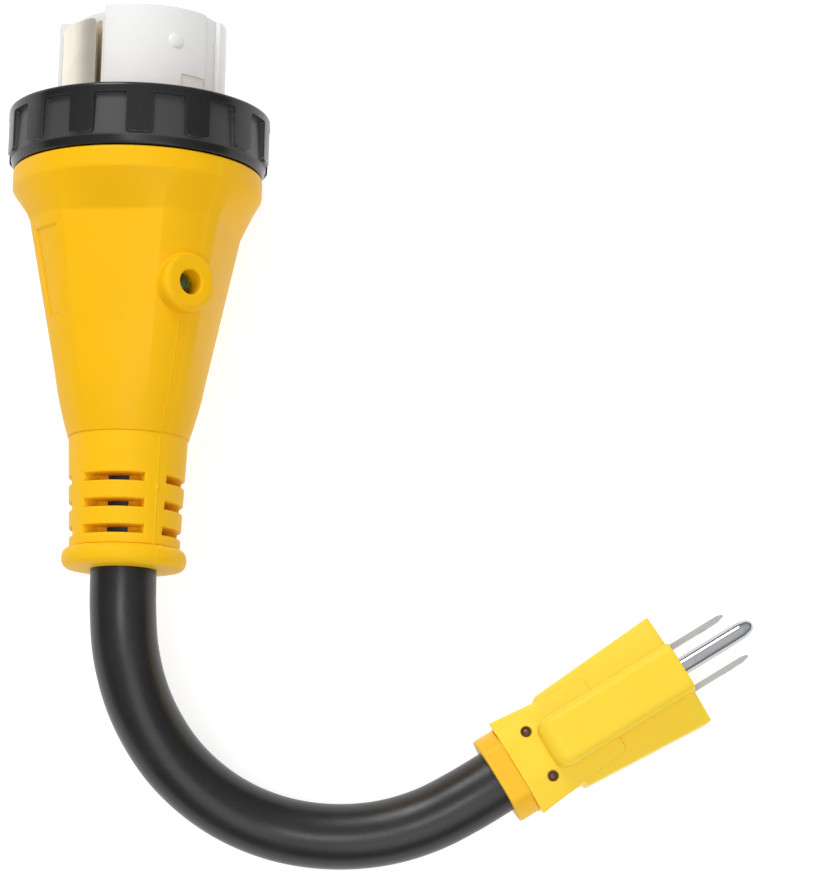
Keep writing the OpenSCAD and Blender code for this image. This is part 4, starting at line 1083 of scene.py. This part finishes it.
# Metal: streaks shift the roughness and tarnish darkens the colour; the streaks' height feeds a bump
def metal(name, p):
    material, tree, shader, coords = newMaterial(name, (-1400, 0))
    drawn = useGroup(tree, "metal", coords, (-1100, 200), p.get("drawn"))
    marks = useGroup(tree, "marks", coords, (-1100, -100))
    spots = overLevel(tree, drawn.outputs["Tarnish"], 0.5, p["tarnish"], (-850, 300))
    tree.links.new(mixColour(tree, spots, p["colour"], p["deep"], (-500, 300)), shader.inputs["Base Color"])
    rough = calc(tree, "MULTIPLY", drawn.outputs["Streak"], p["roughSpan"], (-800, 0))
    rough = calc(tree, "ADD", rough, p["rough"], (-600, 0))
    rough = markRough(tree, rough, marks.outputs["Smudge"], 0.06, (-800, -200))
    shader.inputs["Metallic"].default_value = 1
    setSurface(tree, shader, rough, drawn.outputs["Streak"], p)
    return material


# Finishes: depth is the height of the bump in mm. Low and dull are for the fields between ribs: low is a
# lighter colour painted into them as a painted sheen, dull raises their roughness. The paler edge colours are
# a painted highlight
sleeve = {"rough": 0.4, "roughSpan": 0.1, "bump": 0.3, "depth": 0.03}
plasticPlan = {
    "connectorVinyl": {"colour": (0.955, 0.522, 0.003), "deep": (0.935, 0.5, 0.002),
                       "pale": (1.0, 0.59, 0.015),
                       "edge": 0.3, "rough": 0.42, "roughSpan": 0.08, "bump": 0.5, "depth": 0.04,
                       "shader": {"Specular IOR Level": 0.14},
                       "grain": {"Grain Scale": 2600, "Swell Scale": 55, "Grain Share": 0.45}},
    "reliefVinyl": {"colour": (0.965, 0.545, 0.006), "deep": (0.945, 0.52, 0.004), "pale": (1.0, 0.62, 0.03),
                    "edge": 0.3, "rough": 0.45, "roughSpan": 0.08, "bump": 0.5, "depth": 0.04,
                    "shader": {"Specular IOR Level": 0.14},
                    "grain": {"Grain Scale": 2400, "Swell Scale": 70, "Grain Share": 0.5}},
    "plugVinyl": {"colour": (1.0, 0.71, 0.045), "deep": (0.985, 0.675, 0.03), "pale": (1.0, 0.82, 0.1),
                  "edge": 0.3, "rough": 0.38, "roughSpan": 0.08, "bump": 0.4, "depth": 0.035,
                  "shader": {"Specular IOR Level": 0.25},
                  "grain": {"Grain Scale": 2800, "Swell Scale": 65, "Grain Share": 0.45}},
    "collarVinyl": {"colour": (0.97, 0.55, 0.02), "deep": (0.95, 0.52, 0.015), "pale": (1.0, 0.65, 0.06),
                    "edge": 0.3, "rough": 0.38, "roughSpan": 0.08, "bump": 0.4, "depth": 0.035,
                    "shader": {"Specular IOR Level": 0.25},
                    "grain": {"Grain Scale": 2800, "Swell Scale": 65, "Grain Share": 0.45}},
    # Black nylon: the lighter low colour in the fields between ribs is a painted sheen, and the paler edge
    # colour a painted highlight
    "ringNylon": {"colour": (0.01, 0.01, 0.0115), "deep": (0.007, 0.007, 0.008), "pale": (0.09, 0.09, 0.095),
                  "low": (0.052, 0.05, 0.051), "dull": 0.16, "edge": 0.6, "rough": 0.22, "roughSpan": 0.1,
                  "bump": 0.5, "depth": 0.05,
                  "shader": {"Specular IOR Level": 0.4},
                  "grain": {"Grain Scale": 2200, "Swell Scale": 90, "Grain Share": 0.6},
                  "dust": {"Amount": 0.012}},
    "insertPlastic": {"colour": (0.86, 0.86, 0.855), "deep": (0.82, 0.82, 0.815), "pale": (0.93, 0.93, 0.93),
                      "edge": 0.3, "rough": 0.33, "roughSpan": 0.08, "bump": 0.3, "depth": 0.03,
                      "grain": {"Grain Scale": 3000, "Swell Scale": 80, "Grain Share": 0.4}},
    "blackInsulation": {"colour": (0.02, 0.02, 0.02), "deep": (0.014, 0.014, 0.014), **sleeve},
    "whiteInsulation": {"colour": (0.78, 0.78, 0.76), "deep": (0.72, 0.72, 0.7), **sleeve},
    "greenInsulation": {"colour": (0.02, 0.25, 0.06), "deep": (0.015, 0.2, 0.045), **sleeve},
    "lampLens": {"colour": (0.01, 0.11, 0.035), "deep": (0.004, 0.05, 0.016), "rough": 0.08,
                 "roughSpan": 0.05, "bump": 0.1, "depth": 0.02,
                 "shader": {"Coat Weight": 0.7, "Coat Roughness": 0.03}},
    "resistorBody": {"colour": (0.6, 0.42, 0.22), "deep": (0.5, 0.34, 0.17), "rough": 0.5, "roughSpan": 0.1,
                     "bump": 0.4, "depth": 0.05},
    "bridgePlastic": {"colour": (0.022, 0.022, 0.024), "deep": (0.015, 0.015, 0.016), "rough": 0.4,
                      "roughSpan": 0.1, "bump": 0.4, "depth": 0.04},
    "rivetBronze": {"colour": (0.17, 0.085, 0.05), "deep": (0.1, 0.05, 0.03), "rough": 0.35,
                    "roughSpan": 0.15, "bump": 0.5, "depth": 0.05, "shader": {"Metallic": 0.5}},
}
metalPlan = {
    "contactBrass": {"colour": (0.78, 0.56, 0.25), "deep": (0.45, 0.27, 0.1), "rough": 0.25,
                     "roughSpan": 0.15, "tarnish": 2.0, "bump": 0.3, "depth": 0.02},
    "groundNickel": {"colour": (0.86, 0.8, 0.7), "deep": (0.66, 0.57, 0.46), "rough": 0.32, "roughSpan": 0.15,
                     "tarnish": 1.2, "bump": 0.3, "depth": 0.02},
    "strapCopper": {"colour": (0.75, 0.4, 0.22), "deep": (0.4, 0.18, 0.1), "rough": 0.3, "roughSpan": 0.15,
                    "tarnish": 2.0, "bump": 0.3, "depth": 0.02},
    "tinnedWire": {"colour": (0.62, 0.62, 0.62), "deep": (0.45, 0.44, 0.42), "rough": 0.3, "roughSpan": 0.15,
                   "tarnish": 1.5, "bump": 0.3, "depth": 0.02},
    "bladeNickel": {"colour": (0.5, 0.49, 0.47), "deep": (0.33, 0.31, 0.28), "rough": 0.28, "roughSpan": 0.2,
                    "tarnish": 1.8, "bump": 0.4, "depth": 0.03},
    "pinChrome": {"colour": (0.55, 0.56, 0.58), "deep": (0.36, 0.36, 0.38), "rough": 0.06, "roughSpan": 0.12,
                  "tarnish": 1.0, "bump": 0.15, "depth": 0.01},
}
materials = {name: plastic(name, p) for name, p in plasticPlan.items()}
materials.update({name: metal(name, p) for name, p in metalPlan.items()})

cordFinish = {"colour": (0.0055, 0.0055, 0.006), "worn": (0.014, 0.014, 0.015), "rough": 0.33, "ripple": 900,
              "bump": 0.5, "depth": 0.04}


# Cord jacket, on its own map of metres along and turns round: fine rings from the extruder, a slow
# swell, and dull rubbed patches
def makeCordMaterial(p):
    material, tree, shader, coords = newMaterial("cordRubber", (-1500, -300))
    place = addNode(tree, "ShaderNodeUVMap", (-1500, 0), uv_map="alongAndRound")
    scaled = addNode(tree, "ShaderNodeMapping", (-1300, 0), {"Scale": (1, 0.055, 1)})
    tree.links.new(place.outputs[0], scaled.inputs["Vector"])
    ripple = addNode(tree, "ShaderNodeTexNoise", (-1050, 250),
                     {"Scale": p["ripple"], "Detail": 3, "Roughness": 0.6})
    rubbed = addNode(tree, "ShaderNodeTexNoise", (-1050, -50), {"Scale": 70, "Detail": 4, "Roughness": 0.6})
    for n in (ripple, rubbed):
        tree.links.new(scaled.outputs[0], n.inputs["Vector"])
    marks = useGroup(tree, "marks", coords, (-1050, -300), {"Scratch Scale": 240})
    dust = useGroup(tree, "dust", coords, (-1050, -550), {"Amount": 0.04})
    patch = overLevel(tree, rubbed.outputs[0], 0.5, 2.5, (-850, 0))
    tone = mixColour(tree, patch, p["colour"], p["worn"], (-500, 200))
    tone = mixColour(tree, dust.outputs["Dust"], tone, (0.4, 0.39, 0.38), (-300, 200))
    tree.links.new(tone, shader.inputs["Base Color"])
    rough = calc(tree, "ADD", calc(tree, "MULTIPLY", patch, 0.12, (-500, 0)), p["rough"], (-350, 0))
    rough = markRough(tree, rough, marks.outputs["Scratch"], -0.08, (-500, -150))
    setSurface(tree, shader, rough, ripple.outputs[0], p)
    return material


materials["cordRubber"] = makeCordMaterial(cordFinish)


# A record slot's finish: the slot's words run together, each after the first with a capital letter
def finishOf(slot):
    first, *rest = slot.split("_")
    return materials[first + "".join(word.title() for word in rest)]


for part in frame["record"]["subparts"]:
    node = nodes[part["node"]]
    node.data.materials.clear()
    node.data.materials.append(finishOf(part["material_slot"]))
for piece, slot in dressed:
    piece.data.materials.append(finishOf(slot))
print("finishes set")

# Stage: floor in metres, and the surround's strength at its lowest and highest
stagePlan = {
    "floorSize": 3.0, "floorColour": (0.42, 0.42, 0.42), "floorGlow": 0.75, "worldLight": (0.12, 0.76),
    "floorGap": 0.0002,
    # name: place, size, power, where it looks
    "lights": {"key": ((-0.35, 0.72, 0.75), 0.5, 5.7, (0.04, -0.1, 0)),
               "fill": ((0.3, -0.9, 0.8), 0.8, 2.3, (0.04, -0.1, 0)),
               "top": ((-0.05, -0.4, 1.3), 0.4, 2.75, (0.04, -0.1, 0))},
}


# A level square under the object, lights that each face a point, and a surround that pales upwards
def makeStage(plan):
    half = plan["floorSize"] / 2
    mesh = bpy.data.meshes.new("floor")
    z = floorHeight - plan["floorGap"]
    corners = [(x * half, y * half, z) for x, y in ((-1, -1), (1, -1), (1, 1), (-1, 1))]
    mesh.from_pydata(corners, [], [(0, 1, 2, 3)])
    floor = bpy.data.objects.new("floor", mesh)
    bpy.context.scene.collection.objects.link(floor)
    material = bpy.data.materials.new("floorPaper")
    material.use_nodes = True
    shader = material.node_tree.nodes["Principled BSDF"]
    shader.inputs["Base Color"].default_value = (*plan["floorColour"], 1)
    shader.inputs["Roughness"].default_value = 0.9
    shader.inputs["Emission Color"].default_value = (1, 1, 1, 1)
    shader.inputs["Emission Strength"].default_value = plan["floorGlow"]
    mesh.materials.append(material)
    for name, (place, size, power, target) in plan["lights"].items():
        data = bpy.data.lights.new(name, "AREA")
        data.shape, data.size, data.energy = "DISK", size, power
        light = bpy.data.objects.new(name, data)
        bpy.context.scene.collection.objects.link(light)
        light.location = place
        light.rotation_euler = (Vector(target) - Vector(place)).to_track_quat("-Z", "Y").to_euler()
    world = bpy.data.worlds.new("surround")
    world.use_nodes = True
    tree = world.node_tree
    split = addNode(tree, "ShaderNodeSeparateXYZ", (-500, 0))
    tree.links.new(addNode(tree, "ShaderNodeTexCoord", (-700, 0)).outputs["Generated"], split.inputs[0])
    level = addNode(tree, "ShaderNodeMapRange", (-300, 0), {"To Min": plan["worldLight"][0],
                                                            "To Max": plan["worldLight"][1]})
    tree.links.new(split.outputs[2], level.inputs[0])
    tree.nodes["Background"].inputs[0].default_value = (1, 1, 1, 1)
    tree.links.new(level.outputs[0], tree.nodes["Background"].inputs[1])
    bpy.context.scene.world = world
    bpy.context.scene.view_settings.view_transform = "Standard"


makeStage(stagePlan)
print("stage set")
